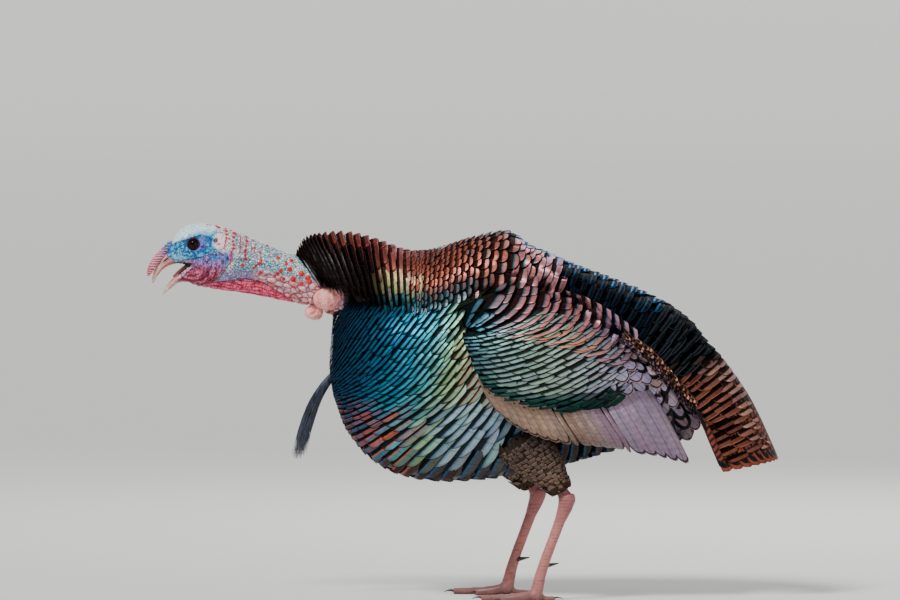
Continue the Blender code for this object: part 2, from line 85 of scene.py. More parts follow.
def painted(colours, *coats):
    """The colours under coats of (colour, share), laid on one after another."""
    for colour, share in coats:
        colours = lerp(colours, colour, share)
    return colours


def normalized(v):
    return v / np.maximum(np.linalg.norm(v, axis=-1, keepdims=True), 1e-9)


def hashed(cells, seed):
    """A number from 0 to 1 for each whole-number cell."""
    c = cells.astype(np.int64)
    h = (c[..., 0] * 73856093) ^ (c[..., 1] * 19349663) ^ (c[..., 2] * 83492791) ^ (seed * 2654435761)
    h = ((h ^ (h >> 13)) * 1274126177) & 0xFFFFFFFF
    h = ((h ^ (h >> 16)) * 2246822519) & 0xFFFFFFFF
    return (h & 0xFFFFFF) / float(0x1000000)


CORNERS = np.array([(i, j, k) for i in (0, 1) for j in (0, 1) for k in (0, 1)])
NEIGHBOURS = np.array([(i, j, k) for i in (-1, 0, 1) for j in (-1, 0, 1) for k in (-1, 0, 1)])


def noise(points, size, seed):
    """Smooth noise from -1 to 1 with lumps of about this size."""
    scaled = points / size
    cell = np.floor(scaled)
    part = scaled - cell
    part = part * part * (3 - 2 * part)
    total = np.zeros(len(points))
    for corner in CORNERS:
        weight = np.prod(np.where(corner, part, 1 - part), axis=1)
        total += weight * hashed(cell + corner, seed)
    return total * 2 - 1


def cells(points, size, seed):
    """Distances to the nearest and next scattered point, in sizes, and that cell's own number."""
    scaled = points / size
    cell = np.floor(scaled)
    first = np.full(len(points), 9.0)
    second = np.full(len(points), 9.0)
    own = np.zeros(len(points))
    for step in NEIGHBOURS:
        there = cell + step
        spot = there + 0.15 + 0.7 * np.stack([hashed(there, seed + k) for k in range(3)], -1)
        away = np.linalg.norm(spot - scaled, axis=1)
        closer = away < first
        second = np.where(closer, first, np.minimum(second, away))
        own = np.where(closer, hashed(there, seed + 5), own)
        first = np.where(closer, away, first)
    return first, second, own


# ---------------------------------------------------------------- meshes
def mesh_object(name, vertices, *face_arrays):
    """A smooth-shaded mesh object from an array of vertices and arrays of faces."""
    mesh = bpy.data.meshes.new(name)
    mesh.vertices.add(len(vertices))
    mesh.vertices.foreach_set("co", np.asarray(vertices, dtype=np.float32).ravel())
    corners = np.concatenate([faces.ravel() for faces in face_arrays])
    totals = np.concatenate([np.full(len(faces), faces.shape[1]) for faces in face_arrays])
    mesh.loops.add(len(corners))
    mesh.loops.foreach_set("vertex_index", corners.astype(np.int32))
    mesh.polygons.add(len(totals))
    starts = np.concatenate([[0], np.cumsum(totals)[:-1]])
    mesh.polygons.foreach_set("loop_start", starts.astype(np.int32))
    mesh.update(calc_edges=True)
    mesh.shade_smooth()
    return linked(bpy.data.objects.new(name, mesh))


def linked(thing):
    bpy.context.scene.collection.objects.link(thing)
    return thing


def values_of(items, key, width, kind=np.float32):
    """One number or several of each item of a mesh."""
    values = np.empty(len(items) * width, dtype=kind)
    items.foreach_get(key, values)
    return values.reshape(-1, width)


def node_arrays(*names):
    """Vertices and triangles of frame nodes, put together."""
    points, triangles, count = [], [], 0
    for name in names:
        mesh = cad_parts[name].data
        mesh.calc_loop_triangles()
        points.append(values_of(mesh.vertices, "co", 3))
        triangles.append(values_of(mesh.loop_triangles, "vertices", 3, np.int32) + count)
        count += len(mesh.vertices)
    return np.concatenate(points), np.concatenate(triangles)


def modified(thing, kind, **settings):
    """Adds one modifier and applies it."""
    modifier = thing.modifiers.new(kind.lower(), kind)
    for key, value in settings.items():
        setattr(modifier, key, value)
    graph = bpy.context.evaluated_depsgraph_get()
    mesh = bpy.data.meshes.new_from_object(thing.evaluated_get(graph))
    old = thing.data
    thing.modifiers.clear()
    thing.data = mesh
    bpy.data.meshes.remove(old)


def softened(name, nodes, voxel, rounds):
    """One smooth closed form made from the nodes, with their facets and the gaps between them gone."""
    thing = mesh_object(name, *node_arrays(*nodes))
    modified(thing, "WELD", merge_threshold=1e-5)
    modified(thing, "REMESH", mode="VOXEL", voxel_size=voxel, use_smooth_shade=True)
    if rounds:
        modified(thing, "SMOOTH", factor=0.5, iterations=rounds)
    return thing


def points_of(thing):
    return values_of(thing.data.vertices, "co", 3).astype(np.float64)


def normals_of(thing):
    return values_of(thing.data.vertices, "normal", 3).astype(np.float64)


def move_points(thing, points):
    thing.data.vertices.foreach_set("co", np.asarray(points, dtype=np.float32).ravel())
    thing.data.update()


def tree_of(thing):
    mesh = thing.data
    mesh.calc_loop_triangles()
    ends = [tuple(t.vertices) for t in mesh.loop_triangles]
    return BVHTree.FromPolygons([v.co[:] for v in mesh.vertices], ends)


def removed(thing):
    mesh = thing.data
    bpy.data.objects.remove(thing)
    bpy.data.meshes.remove(mesh)


def put_colour(thing, name, colours):
    layer = thing.data.color_attributes.new(name, "FLOAT_COLOR", "POINT")
    rgba = np.ones((len(colours), 4), dtype=np.float32)
    rgba[:, :3] = colours
    layer.data.foreach_set("color", rgba.ravel())


def put_number(thing, name, values):
    layer = thing.data.attributes.new(name, "FLOAT", "POINT")
    layer.data.foreach_set("value", np.asarray(values, dtype=np.float32))


BAKE_PATCH = 0.003  # how far one tuft's part of the OFBake map reaches


def put_bake_map(thing, places):
    """The OFBake map: each point's place on the unwrap of the skin's shape."""
    corners = values_of(thing.data.loops, "vertex_index", 1, np.int32).ravel()
    layer = thing.data.uv_layers.new(name="OFBake")
    layer.data.foreach_set("uv", places[corners].astype(np.float32).ravel())


def settle(thing, slot, *replaced):
    """The piece rides on the body and stands for the nodes, which it hides. The slot is not used."""
    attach(thing, BODY)
    if replaced:
        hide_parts(*replaced)


# ---------------------------------------------------------------- materials
class Shading:
    """A material under construction, with short names for the nodes it uses."""

    def __init__(self, name, roughness):
        self.material = bpy.data.materials.new(name)
        self.material.use_nodes = True
        self.nodes = self.material.node_tree.nodes
        self.links = self.material.node_tree.links
        self.shader = self.nodes["Principled BSDF"]
        self.shader.inputs["Roughness"].default_value = roughness

    def feed(self, socket, value):
        if isinstance(value, bpy.types.NodeSocket):
            self.links.new(value, socket)
        elif isinstance(value, (tuple, np.ndarray)):
            socket.default_value = (*value, 1.0) if len(socket.default_value) == 4 else value
        else:
            socket.default_value = value

    def maths(self, operation, *values):
        node = self.nodes.new("ShaderNodeMath")
        node.operation = operation
        for socket, value in zip(node.inputs, values):
            self.feed(socket, value)
        return node.outputs[0]

    def times(self, a, b):
        return self.maths("MULTIPLY", a, b)

    def plus(self, a, b):
        return self.maths("ADD", a, b)

    def minus(self, a, b):
        return self.maths("SUBTRACT", a, b)

    def over(self, a, b):
        return self.maths("DIVIDE", a, b)

    def scaled(self, value, factor, offset):
        return self.maths("MULTIPLY_ADD", value, factor, offset)

    def size(self, name):
        """The size of an attribute without its sign."""
        return self.maths("ABSOLUTE", self.attribute(name))

    def step(self, low, high, value):
        """0 below low and 1 above high, smoothly between."""
        node = self.nodes.new("ShaderNodeMapRange")
        node.interpolation_type = "SMOOTHSTEP"
        self.feed(node.inputs["Value"], value)
        self.feed(node.inputs["From Min"], low)
        self.feed(node.inputs["From Max"], high)
        return node.outputs[0]

    def mix(self, share, a, b, blend="MIX"):
        node = self.nodes.new("ShaderNodeMix")
        node.data_type = "RGBA"
        node.blend_type = blend
        self.feed(node.inputs[0], share)
        self.feed(node.inputs[6], a)
        self.feed(node.inputs[7], b)
        return node.outputs[2]

    def attribute(self, name, output="Fac"):
        node = self.nodes.new("ShaderNodeAttribute")
        node.attribute_name = name
        return node.outputs[output]

    def tint(self, name):
        return self.attribute(name, "Color")

    def noise(self, scale, detail, stretch=None):
        node = self.nodes.new("ShaderNodeTexNoise")
        node.inputs["Scale"].default_value = scale
        node.inputs["Detail"].default_value = detail
        place = self.nodes.new("ShaderNodeTexCoord")
        if stretch is None:
            self.links.new(place.outputs["Object"], node.inputs["Vector"])
        else:
            mapping = self.nodes.new("ShaderNodeMapping")
            mapping.inputs["Scale"].default_value = stretch
            self.links.new(place.outputs["Object"], mapping.inputs["Vector"])
            self.links.new(mapping.outputs[0], node.inputs["Vector"])
        return node.outputs["Fac"]

    def cells(self, scale):
        """How far a place is from the border of its cell."""
        node = self.nodes.new("ShaderNodeTexVoronoi")
        node.feature = "DISTANCE_TO_EDGE"
        node.inputs["Scale"].default_value = scale
        place = self.nodes.new("ShaderNodeTexCoord")
        self.links.new(place.outputs["Object"], node.inputs["Vector"])
        return node.outputs["Distance"]

    def colour(self, value):
        self.feed(self.shader.inputs["Base Color"], value)

    def relief(self, height, distance, strength):
        node = self.nodes.new("ShaderNodeBump")
        node.inputs["Strength"].default_value = strength
        node.inputs["Distance"].default_value = distance
        self.feed(node.inputs["Height"], height)
        self.links.new(node.outputs[0], self.shader.inputs["Normal"])

    def set(self, **values):
        for name, value in values.items():
            self.feed(self.shader.inputs[name.replace("_", " ")], value)


def dress(thing, shading):
    thing.data.materials.clear()
    thing.data.materials.append(shading.material)


BARBS_ALONG, BARBS_OUT = 5200.0, 4600.0  # radians of the barbs' wave in a metre


def barbs(s):
    """The slanting barbs of a vane, as a number from 0 to 1."""
    run = s.times(s.attribute("length"), s.attribute("along"))
    reach = s.times(s.attribute("width"), s.size("across"))
    slant = s.minus(s.times(run, BARBS_ALONG), s.times(reach, BARBS_OUT))
    return s.scaled(s.maths("SINE", slant), 0.5, 0.5)


def from_edge(s):
    """How far a place on the vane is from its outline, in metres."""
    blunt = s.attribute("blunt")
    side = s.maths("MINIMUM", s.size("across"), 1.0)
    tip = s.maths("MAXIMUM", s.scaled(s.attribute("along"), 2.0, -1.0), 0.001)
    both = s.plus(s.maths("POWER", side, blunt), s.maths("POWER", tip, blunt))
    inside = s.minus(1.0, s.maths("POWER", both, s.over(1.0, blunt)))
    share = s.times(tip, tip)
    share = s.over(share, s.scaled(side, side, share))
    half_length = s.times(s.attribute("length"), 0.5)
    spread = s.minus(half_length, s.attribute("width"))
    return s.times(inside, s.scaled(share, spread, s.attribute("width")))


def feather_material():
    """Iridescent contour feathers, whose colours are given feather by feather."""
    s = Shading("contour_feathers", 0.38)
    away = s.over(from_edge(s), s.attribute("rim"))
    away = s.plus(away, s.times(s.minus(s.noise(700.0, 1.0), 0.5), 0.35))
    rim = s.step(1.20, 0.80, away)
    start = s.attribute("start")
    wander = s.times(s.minus(s.noise(330.0, 2.0), 0.5), 0.06)
    place = s.minus(s.plus(s.attribute("along"), wander), start)
    # From the inner colour, a dark base and painted shade under the row above, through the glow to the outer
    # colour.
    body = s.mix(s.step(0.0, 0.06, place), s.tint("inner"), s.tint("glow"))
    body = s.mix(s.step(0.05, 0.15, place), body, s.tint("outer"))
    glow = s.times(s.step(2.6, 1.1, away), s.attribute("shine"))
    body = s.mix(glow, body, s.tint("glow"))
    lines = barbs(s)
    shaft = s.step(0.06, 0.015, s.size("across"))
    body = s.mix(s.times(shaft, 0.30), body, (0.02, 0.015, 0.012))
    tone = s.scaled(lines, 0.30, 0.82)
    tone = s.times(tone, s.scaled(s.noise(160.0, 3.0), 0.7, 0.66))
    body = s.mix(1.0, body, tone, "MULTIPLY")
    colour = s.mix(rim, body, s.tint("edge"))
    s.colour(colour)
    bright = s.step(0.008, 0.07, colour)
    s.set(Metallic=s.times(bright, 0.60))
    rough = s.scaled(s.noise(210.0, 2.0), 0.30, 0.50)
    s.set(Roughness=s.scaled(bright, -0.26, rough))
    s.relief(s.plus(lines, s.times(shaft, 2.0)), 0.0001, 0.6)
    s.set(IOR=1.15, Specular_IOR_Level=0.12, Specular_Tint=(0.45, 0.50, 0.55))
    return s


def barred_material():
    """Quills with dark cross bars, and a pale tip beyond a dark band where the rim isn't zero."""
    s = Shading("barred_feathers", 0.46)
    along, across = s.attribute("along"), s.size("across")
    length = s.attribute("length")
    run = s.times(along, length)
    slant = s.minus(run, s.times(s.times(across, 0.4), s.attribute("width")))
    wobble = s.times(s.minus(s.noise(230.0, 3.0), 0.5), 0.004)
    phase = s.times(s.plus(slant, wobble), s.attribute("pitch"))
    bars = s.times(s.step(-0.1, 0.5, s.maths("SINE", phase)), s.attribute("shine"))
    colour = s.mix(bars, s.tint("outer"), s.tint("edge"))
    to_tip = s.over(from_edge(s), s.maths("MAXIMUM", s.attribute("rim"), 0.00001))
    colour = s.mix(s.step(2.7, 2.2, to_tip), colour, s.tint("edge"))
    colour = s.mix(s.step(1.15, 0.9, to_tip), colour, s.tint("glow"))
    lines = barbs(s)
    shaft = s.step(0.055, 0.02, across)
    colour = s.mix(s.times(shaft, 0.6), colour, (0.05, 0.03, 0.02))
    tone = s.scaled(lines, 0.25, 0.85)
    tone = s.times(tone, s.scaled(s.noise(120.0, 3.0), 0.6, 0.70))
    s.colour(s.mix(1.0, colour, tone, "MULTIPLY"))
    s.set(Metallic=s.times(s.minus(1.0, bars), 0.25))
    s.set(Specular_IOR_Level=0.12)
    s.relief(s.plus(lines, s.times(shaft, 4.0)), 0.00012, 0.6)
    return s


# ---------------------------------------------------------------- feathers
STATIONS = np.array([0.0, 0.28, 0.50, 0.66, 0.79, 0.89, 0.955, 0.99, 1.0])
VANE_DEPTH = 0.0004
BAKE_MARGIN = 0.12


class Grid:
    """Points on a form, by station along the lie of the feathers and by turn round the body."""

    def __init__(self, points, facing=None):
        self.points = points
        self.last = points.shape[0] - 1
        along = np.gradient(points, axis=0)
        round_it = np.gradient(points, axis=1)
        normals = normalized(np.cross(round_it, along))
        if facing is None:
            facing = points - points.mean(axis=1, keepdims=True)
        if (facing * normals).sum() < 0:
            normals = -normals
        for _ in range(3):
            padded = np.pad(normals, ((1, 1), (1, 1), (0, 0)), mode="edge")
            normals = sum(padded[1 + a:padded.shape[0] - 1 + a, 1:-1] for a in (-1, 0, 1))
            padded = np.pad(normals, ((1, 1), (1, 1), (0, 0)), mode="edge")
            normals = sum(padded[1:-1, 1 + a:padded.shape[1] - 1 + a] for a in (-1, 0, 1))
            normals = normalized(normals)
        self.normals = normals

    def read(self, values, station, turn):
        """The grid's values between its points, carried straight on past its first and last station."""
        turn = np.clip(turn, 0, values.shape[1] - 1.001)
        inside = np.clip(station, 0, self.last - 0.001)
        k, j = inside.astype(int), turn.astype(int)
        a, b = (inside - k)[..., None], (turn - j)[..., None]
        near = values[k, j] * (1 - b) + values[k, j + 1] * b
        far = values[k + 1, j] * (1 - b) + values[k + 1, j + 1] * b
        past = (station - inside)[..., None]
        return near * (1 - a) + far * a + past * (far - near)

    def place(self, station, turn):
        return self.read(self.points, station, turn)

    def normal(self, station, turn):
        return normalized(self.read(self.normals, np.clip(station, 0, self.last), turn))

    def reach(self, turn):
        """Metres from the first station to the last one."""
        steps = np.arange(self.last + 1.0)
        lines = [self.place(steps, np.full(len(steps), t)) for t in turn]
        return np.array([np.linalg.norm(np.diff(line, axis=0), axis=1).sum() for line in lines])

    def pace(self, station, turn):
        """Metres for one station there."""
        a = self.place(np.maximum(station - 0.5, 0.0), turn)
        b = self.place(np.maximum(station - 0.5, 0.0) + 1.0, turn)
        return np.linalg.norm(b - a, axis=-1)

    def breadth(self, station, turn):
        """Metres for one turn there."""
        station = np.clip(station, 0, self.last)
        turn = np.clip(turn, 1.0, self.points.shape[1] - 2.0)
        apart = np.linalg.norm(self.place(station, turn + 0.5) - self.place(station, turn - 0.5), axis=-1)
        return np.maximum(apart, 0.6 * np.median(apart))


def reach_along(rows):
    """How far along a line each of its places is, from their first two numbers."""
    steps = np.linalg.norm(np.diff(rows[:, :2], axis=0), axis=1)
    return np.concatenate([[0], np.cumsum(steps)])


def resampled(rows, count, rounds):
    """Rows of numbers evenly spread over straight runs between the given rows, then smoothed."""
    rows = np.asarray(rows, dtype=float)
    reach = reach_along(rows)
    spread = np.linspace(0, reach[-1], count)
    even = np.stack([np.interp(spread, reach, column) for column in rows.T], -1)
    for _ in range(rounds):
        even[1:-1] = (even[:-2] + 2 * even[1:-1] + even[2:]) / 4
    return even


def ring_grid(tree, spine, turns, count, around, shift=0.0):
    """A grid met from outside, in planes square to the lie of the feathers.

    spine has rows of x, z, the lie's slope below +X in degrees, and how far the row is carried forward
    on the under side. turns are the first and last turn about it from straight up, in degrees.
    """
    points = np.zeros((count, around, 3))
    spread = np.radians(np.linspace(turns[0], turns[1], around))
    spine = [(*row, 0.0)[:4] for row in spine]
    for k, (x, z, slope, sag) in enumerate(resampled(spine, count, 6)):
        slope = math.radians(slope)
        lie = Vector((math.cos(slope), 0, -math.sin(slope)))
        up = Vector((math.sin(slope), 0, math.cos(slope)))
        centre = Vector((x, shift, z))
        for j, turn in enumerate(spread):
            way = up * math.cos(turn) + Vector((0, 1, 0)) * math.sin(turn)
            start = centre + way * 0.5 - lie * sag * max(-math.cos(turn), 0.0) ** 2
            spot = tree.ray_cast(start, -way, 0.5)[0]
            if spot is None:
                spot = tree.find_nearest(centre + way * 0.05)[0]
            points[k, j] = spot
    return Grid(relaxed(points))


def relaxed(points, rounds=2):
    """Evens out the jumps where a ray passes from one form to another."""
    for _ in range(rounds):
        points[1:-1] = (points[:-2] + 2 * points[1:-1] + points[2:]) / 4
        points[:, 1:-1] = (points[:, :-2] + 2 * points[:, 1:-1] + points[:, 2:]) / 4
    return points


class Coat:
    """One piece of plumage, to which rows of vanes are added."""

    def __init__(self):
        self.parts = []

    def add(self, grid, station, turn, length, half, **style):
        """Vanes rooted at these stations and turns of the grid.

        raised is a vane's slope off the body in degrees and over its tip's height above the form. curve,
        arch, blunt, yaw and roll shape it. inner, outer, glow and edge colour it, rim is the edge's breadth,
        start is where the inner colour ends and shine how strong the glow, or a quill's bars, are.
        """
        count, u = len(station), style.get("stations", STATIONS)
        across = np.linspace(-1, 1, style.get("columns", 7))
        raised = np.radians(np.broadcast_to(style.get("raised", 8.0), count))
        yaw = np.radians(np.broadcast_to(style.get("yaw", 0.0), count))
        roll = np.radians(np.broadcast_to(style.get("roll", 0.0), count))
        over = np.broadcast_to(style.get("over", 0.0), count)
        curve, arch = style.get("curve", 0.4), style.get("arch", 0.06)
        blunt = np.broadcast_to(style.get("blunt", 2.4), count)
        run = style.get("run", length * np.cos(raised) / grid.pace(station, turn))
        shape = outline(u, blunt[:, None])
        width = shape * half[:, None]
        aside = (np.tan(yaw) * length)[:, None] * u**1.2
        k = station[:, None, None] + run[:, None, None] * u[:, None] + 0 * across
        aside = aside[..., None] + width[..., None] * across
        j = turn[:, None, None] + aside / grid.breadth(station + run, turn)[:, None, None]
        base, normal = grid.place(k, j), grid.normal(k, j)
        drop = (1 - curve) * (1 - u) + curve * (1 - u) ** 2
        height = over[:, None] - (np.sin(raised) * length)[:, None] * drop
        lift = arch * width[..., None] * (1 - across**2)
        lift = lift + np.sin(roll)[:, None, None] * width[..., None] * across
        top = base + normal * (height[..., None] + lift)[..., None]
        middle = len(across) // 2
        low = height + arch * width * 0.35 - VANE_DEPTH
        under = base[:, :, middle] + normal[:, :, middle] * low[..., None]
        numbers = {"length": length, "width": half, "blunt": blunt}
        for key, usual in (("rim", 0.0012), ("shine", 0.55), ("pitch", 600.0), ("start", 0.5)):
            numbers[key] = style.get(key, usual)
        self.parts.append(dict(
            top=top, under=under, u=u, across=shape[:, :, None] * across,
            spot=np.stack([turn / grid.points.shape[1], station / (grid.last + 1)], -1),
            numbers={key: np.broadcast_to(value, count) for key, value in numbers.items()},
            colours={n: np.broadcast_to(style[n], (count, 3)) for n in ("inner", "outer", "glow", "edge")},
        ))

    def finish(self, name, shading, slot, *replaced):
        """Makes the piece: closed vanes with their numbers, colours and the OFBake map."""
        points, quads, threes, maps, base = [], [], [], [], 0
        names = ("along", "across", "length", "width", "blunt", "rim", "shine", "pitch", "start")
        numbers = {n: [] for n in names}
        colours = {n: [] for n in ("inner", "outer", "glow", "edge")}
        for part in self.parts:
            count, rows, columns, _ = part["top"].shape
            each = rows * columns + rows
            both = np.concatenate([part["top"].reshape(count, -1, 3), part["under"]], axis=1)
            points.append(both.reshape(-1, 3))
            first = base + np.arange(count)[:, None, None] * each
            four, three = vane_faces(rows, columns)
            quads.append((first + four).reshape(-1, 4))
            threes.append((first + three).reshape(-1, 3))
            base += count * each
            along = np.concatenate([np.repeat(part["u"], columns), part["u"]])
            across = np.concatenate([part["across"].reshape(count, -1), np.zeros((count, rows))], axis=1)
            numbers["along"].append(np.tile(along, count))
            numbers["across"].append(across.ravel())
            for key, values in part["numbers"].items():
                numbers[key].append(np.repeat(values, each))
            for key, values in part["colours"].items():
                colours[key].append(np.repeat(values, each, axis=0))
            aside = across * 0.5 * BAKE_PATCH
            patch = np.stack([aside, np.broadcast_to((along - 0.5) * BAKE_PATCH, across.shape)], -1)
            spots = (part["spot"] + BAKE_MARGIN) / (1 + 2 * BAKE_MARGIN)
            maps.append((spots[:, None] + patch).reshape(-1, 2))
        thing = mesh_object(name, np.concatenate(points), np.concatenate(quads), np.concatenate(threes))
        for key, values in numbers.items():
            put_number(thing, key, np.concatenate(values))
        for key, values in colours.items():
            put_colour(thing, key, np.concatenate(values))
        put_bake_map(thing, np.concatenate(maps))
        dress(thing, shading)
        settle(thing, slot, *replaced)


def outline(u, blunt):
    """Share of the half width along a vane, from its narrow root to its round or square tip."""
    rise = 0.35 + 0.65 * smooth(0.0, 0.5, u)
    fall = np.clip(1 - np.clip(2 * u - 1, 0, 1) ** blunt, 0, 1) ** (1 / blunt)
    return np.where(u < 0.5, rise, np.maximum(fall, 0.04))


def vane_faces(rows, columns):
    """Faces of one vane: its top, the two slopes of its underside and both ends."""
    r, c = np.meshgrid(np.arange(rows - 1), np.arange(columns - 1), indexing="ij")
    corner = (r * columns + c).reshape(-1, 1)
    top = corner + np.array([0, columns, columns + 1, 1])
    r = np.arange(rows - 1)
    near, far, low = r * columns, r * columns + columns - 1, rows * columns + r
    left = np.stack([near, low, low + 1, near + columns], -1)
    right = np.stack([low, far, far + columns, low + 1], -1)
    c = np.arange(columns - 1)
    low = np.full(columns - 1, rows * columns)
    root = np.stack([low, c, c + 1], -1)
    tip = (rows - 1) * columns + c
    end = np.stack([low + rows - 1, tip + 1, tip], -1)
    return np.concatenate([top, left, right]), np.concatenate([root, end])


def laid_rows(grid, step, aspect, reference, first, last, jitter):
    """Stations, turns and row spacing of feathers in staggered rows over the grid.

    step(points) is the spacing of the rows at the reference turn, and aspect(points) the distance of
    neighbours in a row as a multiple of the spacing there.
    """
    stations, turns, gaps = [], [], []
    station, odd = first, 0
    j = np.arange(grid.points.shape[1], dtype=float)
    reference = reference * (len(j) - 1)
    while station < last:
        here = np.full_like(j, station)
        points = grid.place(here, j)
        middle = np.array([station]), np.array([reference])
        usual = float(step(grid.place(*middle))[0])
        advance = min(usual / grid.pace(*middle)[0], 0.12 * grid.last)
        gap = np.clip(advance * grid.pace(here, j), 0.55 * usual, 1.6 * usual)
        apart = gap * aspect(points)
        pieces = np.linalg.norm(np.diff(points, axis=0), axis=1) / (0.5 * (apart[1:] + apart[:-1]))
        reach = np.concatenate([[0], np.cumsum(pieces)])
        wanted = np.arange(0.5 * odd + CHANCE.uniform(0.0, 0.45), reach[-1], 1.0)
        turn = np.interp(wanted + CHANCE.normal(0, 0.10, len(wanted)), reach, j)
        stations.append(station + CHANCE.normal(0, jitter, len(turn)) * advance)
        turns.append(turn)
        gaps.append(np.interp(turn, j, gap))
        station += advance
        odd = 1 - odd
    return np.concatenate(stations), np.concatenate(turns), np.concatenate(gaps)


def by_x(*stops):
    """A number that depends on where along the bird a place is."""
    places, values = zip(*stops)
    return lambda p: np.interp(p[:, 0], places, values)


def steady(number):
    """The same number at every place."""
    return lambda p: np.full(len(p), number)


def cover(coat, grid, colours_at, step, first, last, **style):
    """Covers part of the grid, from its first station to its last, with staggered rows of feathers.

    reach and breadth are a feather's length and half width, in rows and in distances of neighbours. open
    is the share of a row that shows its colour, dim the brightness of the inner colour: the feather's dark
    base, darkened further as painted shade where the row above lies over it. tuck and unrest
    are its roll and how much that varies, in degrees, and keep says which feathers stay.
    """
    style = dict(dict(aspect=1.2, reach=2.3, breadth=0.62, reference=0.5, jitter=0.07), **style)
    aspect = style["aspect"]
    if not callable(aspect):
        aspect = steady(aspect)
    station, turn, gap = laid_rows(grid, step, aspect, style["reference"], first, last, style["jitter"])
    length = gap * style["reach"]
    end = station + length / grid.pace(station, turn)
    tips = grid.place(end, turn)
    half = gap * aspect(tips) * style["breadth"]
    aside = grid.place(end, turn + half / grid.breadth(end, turn))
    good = np.linalg.norm(tips - grid.place(station, turn), axis=1) < 1.5 * length
    good &= np.linalg.norm(aside - tips, axis=1) < 2.0 * half
    if "keep" in style:
        good &= style["keep"](tips)
    station, turn, gap, length, tips = station[good], turn[good], gap[good], length[good], tips[good]
    length = length * CHANCE.normal(1.0, 0.04, len(length))
    half = gap * aspect(tips) * style["breadth"] * CHANCE.normal(1.0, 0.05, len(gap))
    outer = varied(np.broadcast_to(colours_at(tips), (len(tips), 3)), style.get("variety", 0.10))
    unrest = style.get("unrest", 1.5)
    settings = {
        "start": 1 - style.get("open", 1.0) * gap / length,
        "outer": outer,
        # The inner colour is the feather's dark base and painted shade under the row above.
        "inner": outer * style.get("dim", 0.30),
        "glow": np.clip(outer * 1.5 + 0.02, 0, 1),
        "edge": BLACK,
        "yaw": CHANCE.normal(0, 2.5, len(gap)),
        "roll": style.get("tuck", 3.0) * np.sign(tips[:, 1]) + CHANCE.normal(0, unrest, len(gap)),
    }
    for key in ("raised", "over", "arch", "blunt", "curve", "columns", "rim", "shine"):
        if key in style:
            value = style[key]
            settings[key] = value(tips) if callable(value) else value
    for key in ("inner", "glow", "edge"):
        if key in style:
            value = style[key]
            settings[key] = value(tips, outer) if callable(value) else value
    coat.add(grid, station, turn, length, half, **settings)


def side_grid(tree, side, rows, count=60, around=60):
    """A grid met from one side of the bird, through rows of (x, z) places in tenths of a millimetre.

    The rows follow one another along the lie of the feathers, and each runs across it.
    """
    rows = np.array([resampled(np.array(row) / TENTHS, around, 30) for row in rows])
    spread = np.linspace(0, len(rows) - 1, count)
    places = np.stack([
        np.stack([np.interp(spread, np.arange(len(rows)), rows[:, j, c]) for j in range(around)], -1)
        for c in (0, 1)
    ], -1)
    points = np.zeros((count, around, 3))
    for k in range(count):
        for j in range(around):
            x, z = places[k, j]
            spot = tree.ray_cast(Vector((x, side * 0.3, z)), Vector((0, -side, 0)), 0.3)[0]
            points[k, j] = (x, spot.y if spot else np.nan, z)
    known = np.isfinite(points[..., 1])
    fallback = points[..., 1][known].mean()
    points[..., 1] = np.where(known, points[..., 1], fallback * 0.75)
    return Grid(relaxed(points, 3), np.array([0.0, side, 0.0]))


# ---------------------------------------------------------------- markings of the plumage
BLACK = shade(13, 12, 15)
# The lower edge of the mantle and of the tail coverts: x, z.
CAPE_EDGE = [(-0.2475, 0.528), (-0.2385, 0.5115), (-0.2055, 0.4605), (-0.177, 0.447), (-0.1365, 0.4425),
             (-0.0975, 0.4395), (-0.0675, 0.438), (-0.0345, 0.441), (0.0105, 0.459), (0.0555, 0.4755),
             (0.0765, 0.489), (0.098, 0.481), (0.123, 0.470), (0.1455, 0.460), (0.19, 0.434),
             (0.2355, 0.390), (0.2805, 0.342), (0.3255, 0.295), (0.3555, 0.265), (0.40, 0.22)]


def above(p, line):
    """How far above a line of (x, z) places each point is."""
    return p[:, 2] - np.interp(p[:, 0], *zip(*line))


def cape_room(p):
    """How far above the mantle's lower edge a place is."""
    return above(p, CAPE_EDGE)


def breast_colours(p):
    """The breast goes from navy in front to teal blue, then aqua and lime towards the wing. In front it is
    darker just under the mantle's lower edge, a painted shade.
    """
    x, z = p[:, 0], p[:, 2]
    base = ramp(x - 0.25 * (z - 0.36), [
        (-0.19, 16, 30, 44), (-0.150, 20, 56, 78), (-0.115, 26, 96, 124), (-0.075, 40, 134, 158),
        (-0.045, 76, 156, 158), (-0.01, 146, 176, 112), (0.03, 150, 176, 150), (0.09, 96, 108, 106),
        (0.16, 70, 58, 50), (0.30, 54, 44, 40),
    ])
    pale = smooth(0.31, 0.28, z) * smooth(-0.05, -0.02, x) * smooth(0.09, 0.05, x)
    copper = smooth(0.305, 0.27, z) * smooth(-0.17, -0.135, x) * smooth(-0.045, -0.085, x)
    copper = copper * smooth(-0.3, 0.5, noise(p, 0.012, 51))
    base = painted(base, ((150, 176, 190), 0.8 * pale), ((170, 70, 34), 0.85 * copper),
                   ((62, 50, 46), smooth(0.232, 0.195, z)))
    # Painted shade: darker just under the mantle's lower edge, in front of the wing.
    return base * (1 - 0.75 * smooth(-0.016, 0.004, cape_room(p)) * smooth(0.02, -0.02, x))[:, None]


